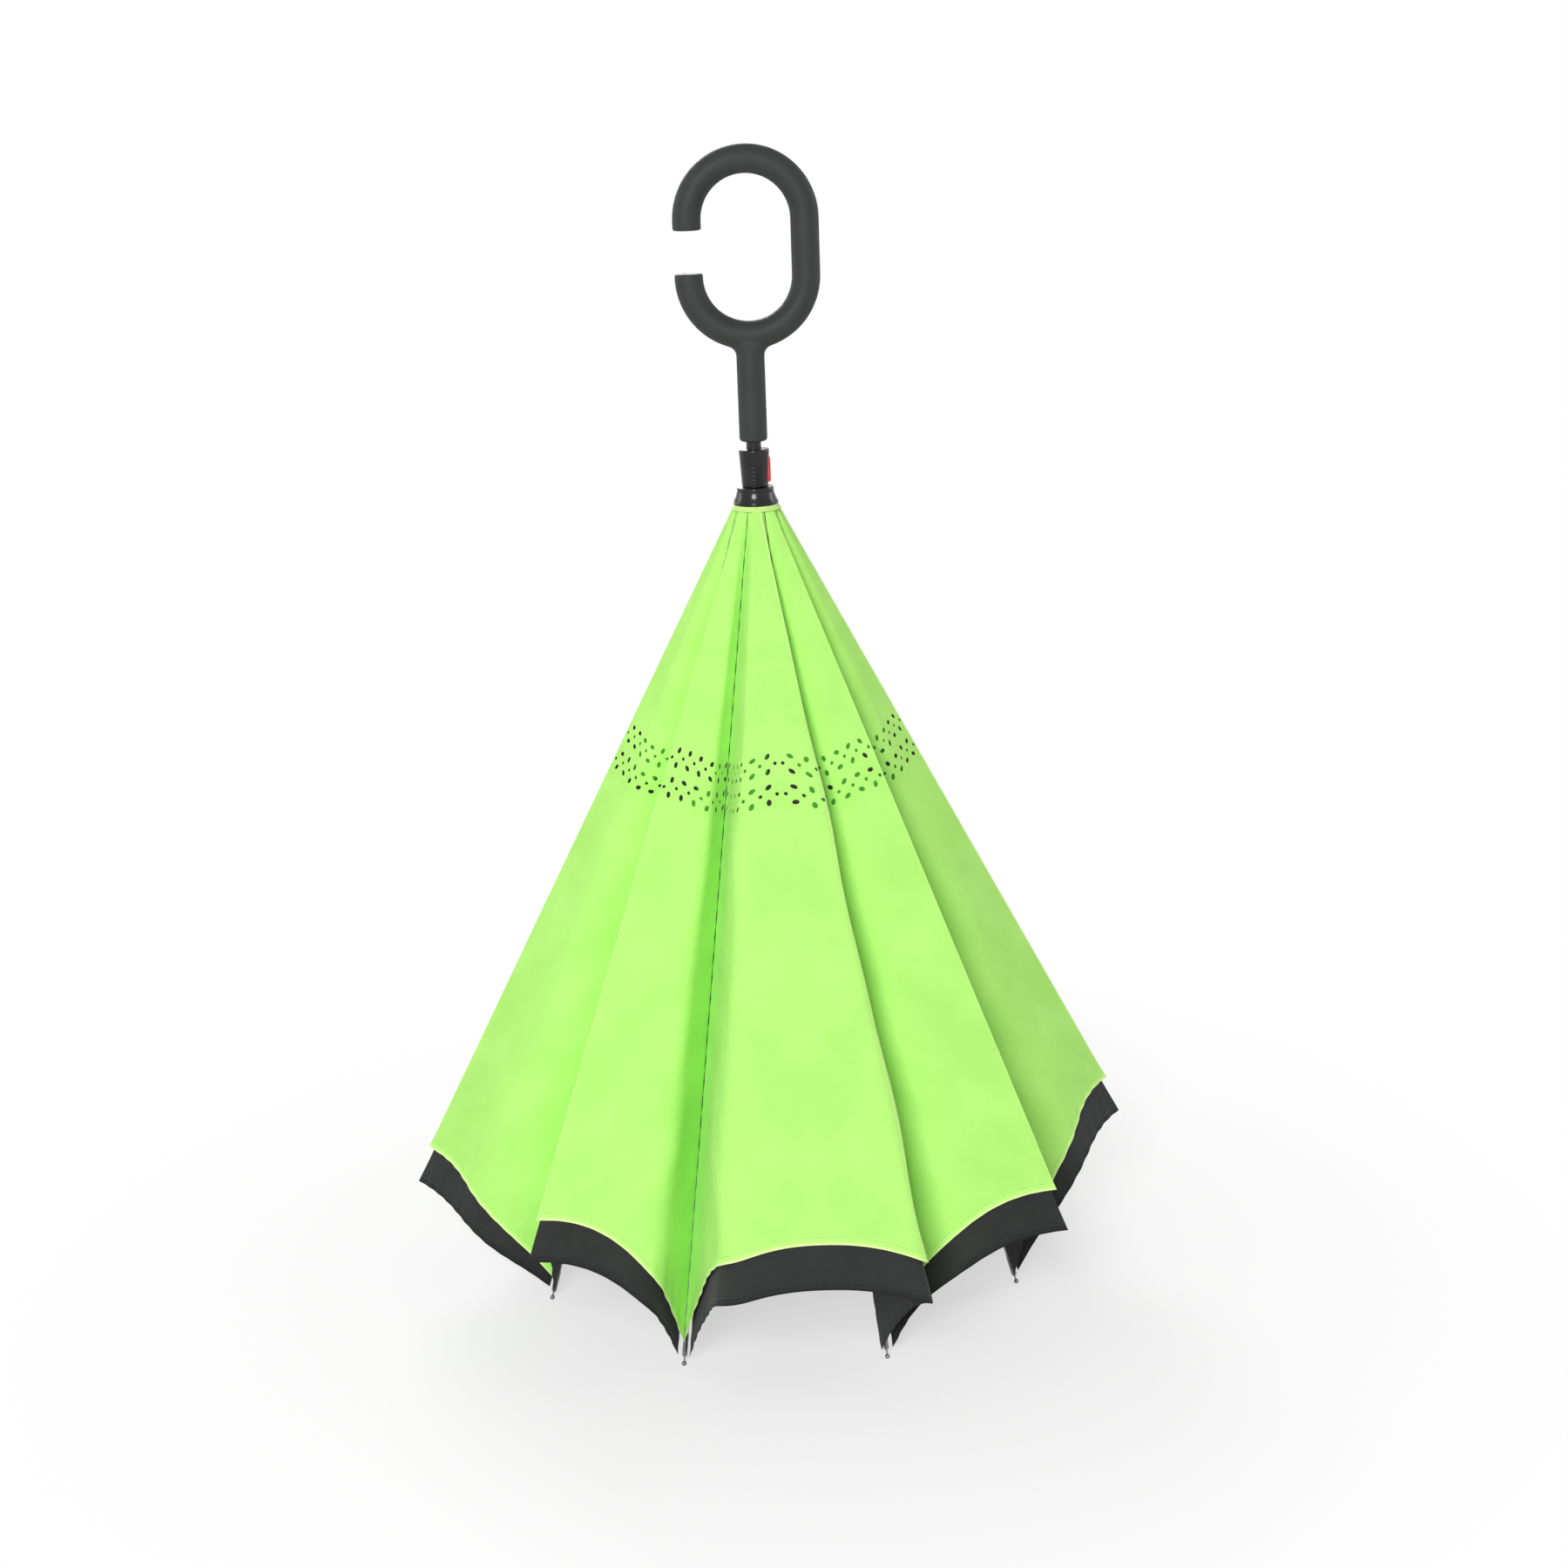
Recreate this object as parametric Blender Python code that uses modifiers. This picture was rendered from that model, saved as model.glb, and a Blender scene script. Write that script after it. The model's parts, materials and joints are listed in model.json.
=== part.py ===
"""Inverted umbrella, closed and standing on its eight rib tips with the hook handle up.

The ribs hang from a runner just below the handle and the stretchers stand on a hub fixed at the far end of
the shaft. Sliding the runner down the shaft swings the ribs outwards and up. The canopy has two layers of
cloth, green outside and black inside, folded into one lobe between each two ribs.
Everything is in metres, +Z is up, and the origin is on the floor on the axis of the shaft.
Azimuth 0 points to -Y, and a positive azimuth turns towards +X.
"""
import bpy
import bmesh
from math import asin, cos, pi, radians, sin, sqrt, tan
from mathutils import Matrix, Vector

# The frame of ribs and stretchers
RIB_COUNT = 8
RIB_CLOSED_ANGLE = radians(17.0)
RIB_OPEN_ANGLE = radians(97.0)
RIB_LENGTH = 0.577
RIB_PIVOT_RADIUS = 0.0113
STRETCHER_JOINT_DISTANCE = 0.200
STRETCHER_OPEN_ANGLE = radians(60.7)
HUB_PIVOT_RADIUS = 0.0095

# A rib: an eye at its root, a steel channel, then a thin rod with a metal end
RIB_EYE_RADIUS = 0.0020
RIB_EYE_HALF_WIDTH = 0.0010
RIB_BLADE_END = 0.0150
RIB_CHANNEL_START = 0.0190
RIB_CHANNEL_END = 0.2900
RIB_CHANNEL_HALF_WIDTH = 0.0017
RIB_CHANNEL_HALF_DEPTH = 0.0021
RIB_CHANNEL_WALL = 0.0007
RIB_ROD_RADIUS = 0.0015
RIB_TAPER_LENGTH = 0.0040
RIB_SLEEVE_LENGTH = 0.0140
RIB_SLEEVE_RADIUS = 0.0018

# A rib tip: a wire neck with a ball end, flat where it stands
TIP_FLANGE_RADIUS = 0.0012
TIP_FLANGE_LENGTH = 0.0008
TIP_NECK_RADIUS = 0.00055
TIP_REACH = 0.0055
TIP_BALL_RADIUS = 0.0017
TIP_STAND_SHARE = 0.8

# The wire rings that the roots turn on
WIRE_RADIUS = 0.0006
EYE_HOLE_RADIUS = 0.0009
FIT_GAP = 0.0003
SLOT_SIDE_GAP = 0.0004

# The shaft and its two latch holes
SHAFT_RADIUS = 0.0050
SHAFT_WALL = 0.0007
SHAFT_SOCKET_DEPTH = 0.0400
SHAFT_BELOW_HUB = 0.0120
LATCH_HOLE_HEIGHT = 0.0060
LATCH_HOLE_WIDTH = 0.0030

# The runner, from its top down: body, flare ring and crown
NECK_SHOWN = 0.0052
RUNNER_HEIGHT = 0.0254
RUNNER_TOP_RADIUS = 0.01035
RUNNER_FOOT_RADIUS = 0.0090
RUNNER_EDGE = 0.0010
FLARE_HEIGHT = 0.0115
FLARE_TOP_RADIUS = 0.0125
FLARE_FOOT_RADIUS = 0.0155
FLARE_LIP_HEIGHT = 0.0014
FLARE_EDGE = 0.0003
FLARE_ABOVE_PIVOT = 0.0041
CROWN_DEPTH = 0.0142
CROWN_RADIUS = 0.0132
CROWN_FOOT_RADIUS = 0.0096

# The ridges under the thumb and the button
RIDGE_COUNT = 5
RIDGE_PITCH = 0.0027
RIDGE_RADIUS = 0.0007
RIDGE_SPREAD = radians(26.0)
RIDGE_AZIMUTH = radians(12.0)
RIDGE_FIRST_HEIGHT = 0.0026
BUTTON_AZIMUTH = radians(90.0)
BUTTON_HEIGHT = 0.0165
BUTTON_WIDTH = 0.0074
BUTTON_PROUD = 0.0013
BUTTON_TRAVEL = 0.0012
BUTTON_THICKNESS = 0.0028
BUTTON_ROUNDING = 0.0009
BUTTON_CENTRE_HEIGHT = 0.0112
BUTTON_SIDE_GAP = 0.0003

# The hub and its cap
HUB_ABOVE_PIVOT = 0.0036
HUB_BELOW_PIVOT = 0.0080
HUB_RADIUS = 0.0112
HUB_FOOT_RADIUS = 0.0090
HUB_CAP_LENGTH = 0.0130
HUB_CAP_RADIUS = 0.0085
HUB_CAP_SOCKET = 0.0050

# A stretcher: an eye at the hub, a steel channel, and a fork that straddles the rib
STRETCHER_EYE_RADIUS = 0.0019
STRETCHER_EYE_HALF_WIDTH = 0.0010
STRETCHER_BLADE_END = 0.0150
STRETCHER_CHANNEL_START = 0.0190
STRETCHER_HALF_WIDTH = 0.0016
STRETCHER_HALF_DEPTH = 0.0016
STRETCHER_WALL = 0.0006
FORK_GAP = 0.0004
FORK_EAR = 0.0009
FORK_EAR_RADIUS = 0.0023
FORK_BRIDGE = 0.0045
FORK_FOOT_STEP = 0.0003
FORK_SHOULDER = 0.0028
RIVET_RADIUS = 0.0014
RIVET_PROUD = 0.0005

# The handle: a C-shaped hook on a stem
HOOK_TUBE_RADIUS = 0.0095
HOOK_ARC_RADIUS = 0.0390
HOOK_STRAIGHT = 0.0365
HOOK_MOUTH = 0.0280
HOOK_UPPER_LIP = 0.0060
HOOK_EDGE = 0.0012
STEM_LENGTH = 0.0616
STEM_FILLET = 0.0065
STEM_EDGE = 0.0020
STEM_DRAW_IN = 0.00015

# The cloth: the seams run over the ribs, and each panel folds out into a lobe between them
CLOTH_THICKNESS = 0.00035
SEAM_OFFSET = 0.0032
SEAM_GAP = 0.00025
COLLAR_BELOW_FLARE = 0.0006
COLLAR_RADIUS = 0.0148
GREEN_CORNER_INSET = 0.0100
GREEN_CREST_RISE = 0.0950
BLACK_CORNER_INSET = 0.0005
BLACK_CREST_EXTRA = 0.0270
BLACK_SEAM_OFFSET = 0.0018
BLACK_TUCK = 0.0044
BLACK_INSET = 0.0045
BLACK_START_RADIUS = 0.0240
HEM_POWER = 2.3
GORE_COLUMNS = 12
GORE_ROWS = 7
CREST_SLOPE = radians(27.5)
LEAN_SHARES = [0.24, 0.16, 0.10, 0.15]
LARGEST_TURN = radians(118.0)

# How finely round shapes are divided
SHAFT_STEPS = 24
TURNED_STEPS = 28
SMALL_STEPS = 10
TIP_STEPS = 8
WIRE_STEPS = 32
WIRE_SIDES = 6
HOOK_SIDES = 16
ARC_STEP = radians(9.0)
EDGE_STEPS = 2
FILLET_STEPS = 4
CAP_STEPS = 5
TRAVEL_STEPS = 60
SHARP_ANGLE = radians(38.0)
MERGE = 0.00001
OVERRUN = 0.0020

# Places that follow from the sizes above
SECTOR = 2.0 * pi / RIB_COUNT
HALF_SECTOR = SECTOR / 2.0
PIVOT_HEIGHT = (RIB_LENGTH + TIP_REACH) * cos(RIB_CLOSED_ANGLE) + TIP_BALL_RADIUS * TIP_STAND_SHARE
FLARE_FOOT = PIVOT_HEIGHT + FLARE_ABOVE_PIVOT
RUNNER_FOOT = FLARE_FOOT + FLARE_HEIGHT + FIT_GAP
RUNNER_TOP = RUNNER_FOOT + RUNNER_HEIGHT
STEM_FOOT = RUNNER_TOP + NECK_SHOWN
HOOK_FOOT = STEM_FOOT + STEM_LENGTH
BORE_RADIUS = SHAFT_RADIUS + FIT_GAP
RIB_JOINT_CLOSED = Vector((
    RIB_PIVOT_RADIUS + STRETCHER_JOINT_DISTANCE * sin(RIB_CLOSED_ANGLE),
    PIVOT_HEIGHT - STRETCHER_JOINT_DISTANCE * cos(RIB_CLOSED_ANGLE),
))
RIB_JOINT_OPEN = Vector((
    RIB_PIVOT_RADIUS + STRETCHER_JOINT_DISTANCE * sin(RIB_OPEN_ANGLE),
    -STRETCHER_JOINT_DISTANCE * cos(RIB_OPEN_ANGLE),
))
STRETCHER_LENGTH = (RIB_JOINT_OPEN.x - HUB_PIVOT_RADIUS) / sin(STRETCHER_OPEN_ANGLE)
STRETCHER_CLOSED_ANGLE = asin((RIB_JOINT_CLOSED.x - HUB_PIVOT_RADIUS) / STRETCHER_LENGTH)
HUB_HEIGHT = RIB_JOINT_CLOSED.y - STRETCHER_LENGTH * cos(STRETCHER_CLOSED_ANGLE)
PIVOT_HEIGHT_OPEN = HUB_HEIGHT + STRETCHER_LENGTH * cos(STRETCHER_OPEN_ANGLE) - RIB_JOINT_OPEN.y
RUNNER_TRAVEL = PIVOT_HEIGHT - PIVOT_HEIGHT_OPEN
BUTTON_CENTRE = RUNNER_FOOT + BUTTON_CENTRE_HEIGHT


def clear_scene():
    """Remove every object, so that the model starts from nothing."""
    for obj in list(bpy.data.objects):
        bpy.data.objects.remove(obj)


def make_collection(name):
    """A collection linked to the scene."""
    collection = bpy.data.collections.new(name)
    bpy.context.scene.collection.children.link(collection)
    return collection


def make_material(name, colour, roughness, metallic=0.0):
    """A Principled material of one colour."""
    material = bpy.data.materials.new(name)
    material.use_nodes = True
    shader = material.node_tree.nodes["Principled BSDF"]
    shader.inputs["Base Color"].default_value = (*colour, 1.0)
    shader.inputs["Roughness"].default_value = roughness
    shader.inputs["Metallic"].default_value = metallic
    return material


def add_object(name, mesh, material, collection):
    """Link an object that holds the mesh."""
    obj = bpy.data.objects.new(name, mesh)
    if material and not mesh.materials:
        mesh.materials.append(material)
    collection.objects.link(obj)
    return obj


def shade(mesh):
    """Smooth shading with sharp edges kept."""
    mesh.shade_smooth()
    mesh.set_sharp_from_angle(angle=SHARP_ANGLE)


def turned(name, profile, closed, steps, collection, material=None):
    """A turned solid: the profile of (radius, height) runs down the outer side and back up inside."""
    mesh = bpy.data.meshes.new(name)
    edges = [(i, i + 1) for i in range(len(profile) - 1)]
    if closed:
        edges.append((len(profile) - 1, 0))
    mesh.from_pydata([(radius, 0.0, height) for radius, height in profile], edges, [])
    obj = add_object(name, mesh, material, collection)
    screw = obj.modifiers.new("Turn", "SCREW")
    screw.steps = steps
    screw.render_steps = steps
    screw.use_merge_vertices = True
    screw.merge_threshold = MERGE
    return obj


def lofted(name, rings, collection, material=None):
    """A closed solid through rings with the same number of points."""
    bm = bmesh.new()
    loops = [[bm.verts.new(point) for point in ring] for ring in rings]
    count = len(rings[0])
    for lower, upper in zip(loops, loops[1:]):
        for i in range(count):
            k = (i + 1) % count
            bm.faces.new((lower[i], lower[k], upper[k], upper[i]))
    bm.faces.new(reversed(loops[0]))
    bm.faces.new(loops[-1])
    bmesh.ops.recalc_face_normals(bm, faces=bm.faces)
    bmesh.ops.triangulate(bm, faces=bm.faces)
    mesh = bpy.data.meshes.new(name)
    bm.to_mesh(mesh)
    bm.free()
    return add_object(name, mesh, material, collection)


def box(name, low, high, collection):
    """A box between two corners."""
    bm = bmesh.new()
    bmesh.ops.create_cube(bm, size=1.0)
    low, high = Vector(low), Vector(high)
    span = high - low
    bmesh.ops.scale(bm, vec=span, verts=bm.verts)
    bmesh.ops.translate(bm, vec=(low + high) / 2.0, verts=bm.verts)
    mesh = bpy.data.meshes.new(name)
    bm.to_mesh(mesh)
    bm.free()
    return add_object(name, mesh, None, collection)


def cylinder(name, radius, low, high, axis, collection, steps=SMALL_STEPS):
    """A cylinder along X, Y or Z through the origin, from low to high."""
    bm = bmesh.new()
    bmesh.ops.create_cone(bm, cap_ends=True, segments=steps, radius1=radius, radius2=radius, depth=high - low)
    bmesh.ops.translate(bm, vec=(0.0, 0.0, (low + high) / 2.0), verts=bm.verts)
    if axis == "X":
        bmesh.ops.rotate(bm, matrix=Matrix.Rotation(pi / 2.0, 3, "Y"), verts=bm.verts)
    if axis == "Y":
        bmesh.ops.rotate(bm, matrix=Matrix.Rotation(-pi / 2.0, 3, "X"), verts=bm.verts)
    mesh = bpy.data.meshes.new(name)
    bm.to_mesh(mesh)
    bm.free()
    return add_object(name, mesh, None, collection)


def boolean(obj, tool, operation):
    """Cut the tool from the object or join it to the object."""
    tool.hide_render = True
    tool.display_type = "WIRE"
    modifier = obj.modifiers.new(tool.name, "BOOLEAN")
    modifier.operation = operation
    modifier.solver = "EXACT"
    modifier.object = tool
    return obj


def baked(obj):
    """The object's mesh with its modifiers applied. The object and its tools are removed."""
    bpy.context.view_layer.update()
    evaluated = obj.evaluated_get(bpy.context.evaluated_depsgraph_get())
    mesh = bpy.data.meshes.new_from_object(evaluated)
    tools = [m.object for m in obj.modifiers if m.type == "BOOLEAN"]
    bpy.data.objects.remove(obj)
    for tool in tools:
        bpy.data.objects.remove(tool)
    bm = bmesh.new()
    bm.from_mesh(mesh)
    bmesh.ops.remove_doubles(bm, verts=bm.verts, dist=MERGE)
    bmesh.ops.dissolve_degenerate(bm, edges=bm.edges, dist=MERGE)
    bmesh.ops.triangulate(bm, faces=bm.faces)
    bm.to_mesh(mesh)
    bm.free()
    mesh.materials.clear()
    shade(mesh)
    return mesh


def azimuth_turn(azimuth):
    """Turn the X axis to an azimuth."""
    return Matrix.Rotation(azimuth - pi / 2.0, 4, "Z")


def rib_azimuth(index):
    """Rib 0 is a half sector to the left of the front."""
    return (index - 0.5) * SECTOR


def rib_frame(index):
    """Origin at a rib's pivot, X outwards and -Z along the rib towards its tip."""
    pivot = Matrix.Translation((RIB_PIVOT_RADIUS, 0.0, PIVOT_HEIGHT))
    return azimuth_turn(rib_azimuth(index)) @ pivot @ Matrix.Rotation(-RIB_CLOSED_ANGLE, 4, "Y")


def stretcher_frame(index):
    """Origin at a stretcher's pivot on the hub, X outwards and Z along the stretcher."""
    pivot = Matrix.Translation((HUB_PIVOT_RADIUS, 0.0, HUB_HEIGHT))
    return azimuth_turn(rib_azimuth(index)) @ pivot @ Matrix.Rotation(STRETCHER_CLOSED_ANGLE, 4, "Y")


def channel_ring(height, half_width, half_depth, wall):
    """A U section open on its inner side. A wall of zero gives the solid bar."""
    inner = half_width - wall if wall else half_width * 2.0 / 3.0
    floor = half_depth - wall if wall else -half_depth
    core = inner if wall else inner / 2.0
    return [
        Vector((-half_depth, -half_width, height)),
        Vector((half_depth, -half_width, height)),
        Vector((half_depth, half_width, height)),
        Vector((-half_depth, half_width, height)),
        Vector((-half_depth, inner, height)),
        Vector((floor, core, height)),
        Vector((floor, -core, height)),
        Vector((-half_depth, -inner, height)),
    ]


def rod_ring(height, radius):
    """An eight-sided section in the same order as the channel's points."""
    ring = []
    for k in range(-1, 7):
        angle = (k - 0.5) * pi / 4.0
        ring.append(Vector((radius * cos(angle), radius * sin(angle), height)))
    return ring


def eye_rings(radius, half_width, direction):
    """The rounded end of a root blade around its pivot, from the tip of the eye to the pivot."""
    rings = []
    for angle in (radians(70.0), radians(45.0), radians(20.0), 0.0):
        rings.append(channel_ring(direction * radius * sin(angle), half_width, radius * cos(angle), 0.0))
    return rings


def make_rib_mesh(tools):
    """One rib in its own frame: eye, blade, channel, rod and metal sleeve."""
    rings = eye_rings(RIB_EYE_RADIUS, RIB_EYE_HALF_WIDTH, 1.0)
    rings.append(channel_ring(-RIB_BLADE_END, RIB_EYE_HALF_WIDTH, RIB_EYE_RADIUS, 0.0))
    channel = (RIB_CHANNEL_HALF_WIDTH, RIB_CHANNEL_HALF_DEPTH, RIB_CHANNEL_WALL)
    rings.append(channel_ring(-RIB_CHANNEL_START, *channel))
    rings.append(channel_ring(-RIB_CHANNEL_END, *channel))
    rod_start = RIB_CHANNEL_END + RIB_TAPER_LENGTH
    sleeve_start = RIB_LENGTH - RIB_SLEEVE_LENGTH
    for distance, radius in (
        (rod_start, RIB_SLEEVE_RADIUS),
        (rod_start + RIB_SLEEVE_LENGTH, RIB_SLEEVE_RADIUS),
        (rod_start + RIB_SLEEVE_LENGTH + RIB_ROD_RADIUS, RIB_ROD_RADIUS),
        (sleeve_start - RIB_ROD_RADIUS, RIB_ROD_RADIUS),
        (sleeve_start, RIB_SLEEVE_RADIUS),
        (RIB_LENGTH, RIB_SLEEVE_RADIUS),
    ):
        rings.append(rod_ring(-distance, radius))
    rib = lofted("rib_form", rings, tools)
    reach = RIB_EYE_HALF_WIDTH + OVERRUN
    boolean(rib, cylinder("rib_eye_hole", EYE_HOLE_RADIUS, -reach, reach, "Y", tools), "DIFFERENCE")
    return baked(rib)


def make_ribs(parts, tools, material):
    """Eight ribs, each with its origin on its pivot."""
    mesh = make_rib_mesh(tools)
    for index in range(RIB_COUNT):
        rib = add_object(f"rib_{index + 1}", mesh, material, parts)
        rib.matrix_world = rib_frame(index)


def make_tip_mesh(tools):
    """One tip in the rib's frame: flange, neck and ball, cut flat where it stands."""
    top = -RIB_LENGTH - FIT_GAP
    centre = -RIB_LENGTH - TIP_REACH
    profile = [(0.0, top), (TIP_FLANGE_RADIUS, top), (TIP_FLANGE_RADIUS, top - TIP_FLANGE_LENGTH)]
    profile.append((TIP_NECK_RADIUS, top - TIP_FLANGE_LENGTH - TIP_NECK_RADIUS))
    start = sqrt(TIP_BALL_RADIUS ** 2 - TIP_NECK_RADIUS ** 2)
    profile.append((TIP_NECK_RADIUS, centre + start))
    for angle in (radians(45.0), radians(15.0), radians(-15.0), radians(-45.0), radians(-70.0)):
        profile.append((TIP_BALL_RADIUS * cos(angle), centre + TIP_BALL_RADIUS * sin(angle)))
    profile.append((0.0, centre - TIP_BALL_RADIUS))
    mesh = baked(turned("tip_form", profile, False, TIP_STEPS, tools))
    stand = rib_frame(0).inverted()
    bm = bmesh.new()
    bm.from_mesh(mesh)
    bmesh.ops.bisect_plane(
        bm,
        geom=bm.verts[:] + bm.edges[:] + bm.faces[:],
        plane_co=stand @ Vector((0.0, 0.0, 0.0)),
        plane_no=stand.to_3x3() @ Vector((0.0, 0.0, -1.0)),
        clear_outer=True,
    )
    bmesh.ops.holes_fill(bm, edges=[e for e in bm.edges if e.is_boundary])
    bmesh.ops.recalc_face_normals(bm, faces=bm.faces)
    bm.to_mesh(mesh)
    bm.free()
    return mesh


def make_tips(parts, tools, material):
    """Eight tips, each carried by its rib."""
    mesh = make_tip_mesh(tools)
    for index in range(RIB_COUNT):
        tip = add_object(f"tip_{index + 1}", mesh, material, parts)
        tip.matrix_world = rib_frame(index)


def fork_crotch():
    """The depth of the fork's slot, so that the rib stays clear of its floor over the whole travel.

    The couplings are linear, so between closed and open the rib crosses the stretcher short of its end.
    """
    deepest = 0.0
    root = Vector((HUB_PIVOT_RADIUS, HUB_HEIGHT))
    for k in range(TRAVEL_STEPS + 1):
        share = k / TRAVEL_STEPS
        rib_angle = RIB_CLOSED_ANGLE + (RIB_OPEN_ANGLE - RIB_CLOSED_ANGLE) * share
        stretcher_angle = STRETCHER_CLOSED_ANGLE + (STRETCHER_OPEN_ANGLE - STRETCHER_CLOSED_ANGLE) * share
        pivot = Vector((RIB_PIVOT_RADIUS, PIVOT_HEIGHT - RUNNER_TRAVEL * share))
        rib = Vector((sin(rib_angle), -cos(rib_angle)))
        stretcher = Vector((sin(stretcher_angle), cos(stretcher_angle)))
        crossing = rib.cross(pivot - root) / rib.cross(stretcher)
        spread = (RIB_CHANNEL_HALF_DEPTH + FORK_EAR_RADIUS * abs(rib.dot(stretcher))) / abs(rib.cross(stretcher))
        deepest = max(deepest, STRETCHER_LENGTH - crossing + spread)
    return deepest + FORK_GAP


def make_fork(crotch, tools):
    """The fork in the stretcher's frame, with its rivet heads."""
    half = RIB_CHANNEL_HALF_WIDTH + FORK_GAP
    outer = half + FORK_EAR
    foot = STRETCHER_LENGTH - crotch - FORK_BRIDGE
    foot_depth = STRETCHER_HALF_DEPTH + FORK_FOOT_STEP
    outline = [(-foot_depth, foot), (foot_depth, foot)]
    outline.append((FORK_EAR_RADIUS, foot + FORK_SHOULDER))
    for k in range(SMALL_STEPS // 2 + 1):
        angle = pi * k / (SMALL_STEPS // 2)
        outline.append((FORK_EAR_RADIUS * cos(angle), STRETCHER_LENGTH + FORK_EAR_RADIUS * sin(angle)))
    outline.append((-FORK_EAR_RADIUS, foot + FORK_SHOULDER))
    rings = [[Vector((x, y, z)) for x, z in outline] for y in (-outer, outer)]
    fork = lofted("fork_form", rings, tools)
    low = (-FORK_EAR_RADIUS - OVERRUN, -half, STRETCHER_LENGTH - crotch)
    high = (FORK_EAR_RADIUS + OVERRUN, half, STRETCHER_LENGTH + FORK_EAR_RADIUS + OVERRUN)
    boolean(fork, box("fork_slot", low, high, tools), "DIFFERENCE")
    for side, name in ((-1.0, "left_rivet"), (1.0, "right_rivet")):
        ends = sorted((side * (outer - FORK_EAR / 2.0), side * (outer + RIVET_PROUD)))
        head = cylinder(name, RIVET_RADIUS, *ends, "Y", tools, TIP_STEPS)
        head.data.transform(Matrix.Translation((0.0, 0.0, STRETCHER_LENGTH)))
        boolean(fork, head, "UNION")
    return fork


def make_stretcher_mesh(tools):
    """One stretcher in its own frame: eye, blade, channel and fork."""
    crotch = fork_crotch()
    rings = eye_rings(STRETCHER_EYE_RADIUS, STRETCHER_EYE_HALF_WIDTH, -1.0)
    rings.append(channel_ring(STRETCHER_BLADE_END, STRETCHER_EYE_HALF_WIDTH, STRETCHER_HALF_DEPTH, 0.0))
    channel = (STRETCHER_HALF_WIDTH, STRETCHER_HALF_DEPTH, STRETCHER_WALL)
    rings.append(channel_ring(STRETCHER_CHANNEL_START, *channel))
    end = STRETCHER_LENGTH - crotch - FORK_BRIDGE / 2.0
    rings.append(channel_ring(end, *channel))
    bar = lofted("stretcher_form", rings, tools)
    reach = STRETCHER_EYE_HALF_WIDTH + OVERRUN
    hole = cylinder("stretcher_eye_hole", EYE_HOLE_RADIUS, -reach, reach, "Y", tools)
    boolean(bar, hole, "DIFFERENCE")
    fork = add_object("fork", baked(make_fork(crotch, tools)), None, tools)
    boolean(bar, fork, "UNION")
    return baked(bar)


def make_stretchers(parts, tools, material):
    """Eight stretchers, each with its origin on its pivot at the hub."""
    mesh = make_stretcher_mesh(tools)
    for index in range(RIB_COUNT):
        stretcher = add_object(f"stretcher_{index + 1}", mesh, material, parts)
        stretcher.matrix_world = stretcher_frame(index)


def make_wire_ring(name, radius, height, parts, material):
    """A closed wire ring around the shaft."""
    bpy.ops.mesh.primitive_torus_add(
        major_radius=radius, minor_radius=WIRE_RADIUS, major_segments=WIRE_STEPS, minor_segments=WIRE_SIDES
    )
    ring = bpy.context.object
    ring.name = name
    ring.location = (0.0, 0.0, height)
    for collection in list(ring.users_collection):
        collection.objects.unlink(ring)
    parts.objects.link(ring)
    ring.data.materials.append(material)
    shade(ring.data)
    return ring


def slotted_ring(name, profile, slot_half_width, slot_floor, parts, tools, material):
    """A turned ring with one slot for each root, cut from its outer side to the slot's floor."""
    ring = turned(f"{name}_form", profile, True, TURNED_STEPS, tools)
    low = min(height for _, height in profile) - OVERRUN
    high = max(height for _, height in profile) + OVERRUN
    reach = max(radius for radius, _ in profile) + OVERRUN
    for index in range(RIB_COUNT):
        slot = box(
            f"{name}_slot_{index + 1}",
            (slot_floor, -slot_half_width, low),
            (reach, slot_half_width, high),
            tools,
        )
        slot.data.transform(azimuth_turn(rib_azimuth(index)))
        boolean(ring, slot, "DIFFERENCE")
    return add_object(name, baked(ring), material, parts)


def make_crown(parts, tools, material):
    """The crown under the flare ring: a channel for the wire ring and slots for the rib roots."""
    top = FLARE_FOOT - FIT_GAP
    foot = PIVOT_HEIGHT - CROWN_DEPTH + FLARE_ABOVE_PIVOT
    groove_floor = PIVOT_HEIGHT - WIRE_RADIUS - FIT_GAP
    groove = WIRE_RADIUS + FIT_GAP
    profile = [
        (CROWN_RADIUS, top),
        (CROWN_RADIUS, groove_floor - 2.0 * groove),
        (CROWN_FOOT_RADIUS, foot),
        (BORE_RADIUS, foot),
        (BORE_RADIUS, top),
        (RIB_PIVOT_RADIUS - groove, top),
        (RIB_PIVOT_RADIUS - groove, groove_floor),
        (RIB_PIVOT_RADIUS + groove, groove_floor),
        (RIB_PIVOT_RADIUS + groove, top),
    ]
    slot = RIB_EYE_HALF_WIDTH + SLOT_SIDE_GAP
    floor = RIB_PIVOT_RADIUS - RIB_EYE_RADIUS - SLOT_SIDE_GAP
    return slotted_ring("crown", profile, slot, floor, parts, tools, material)


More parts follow.
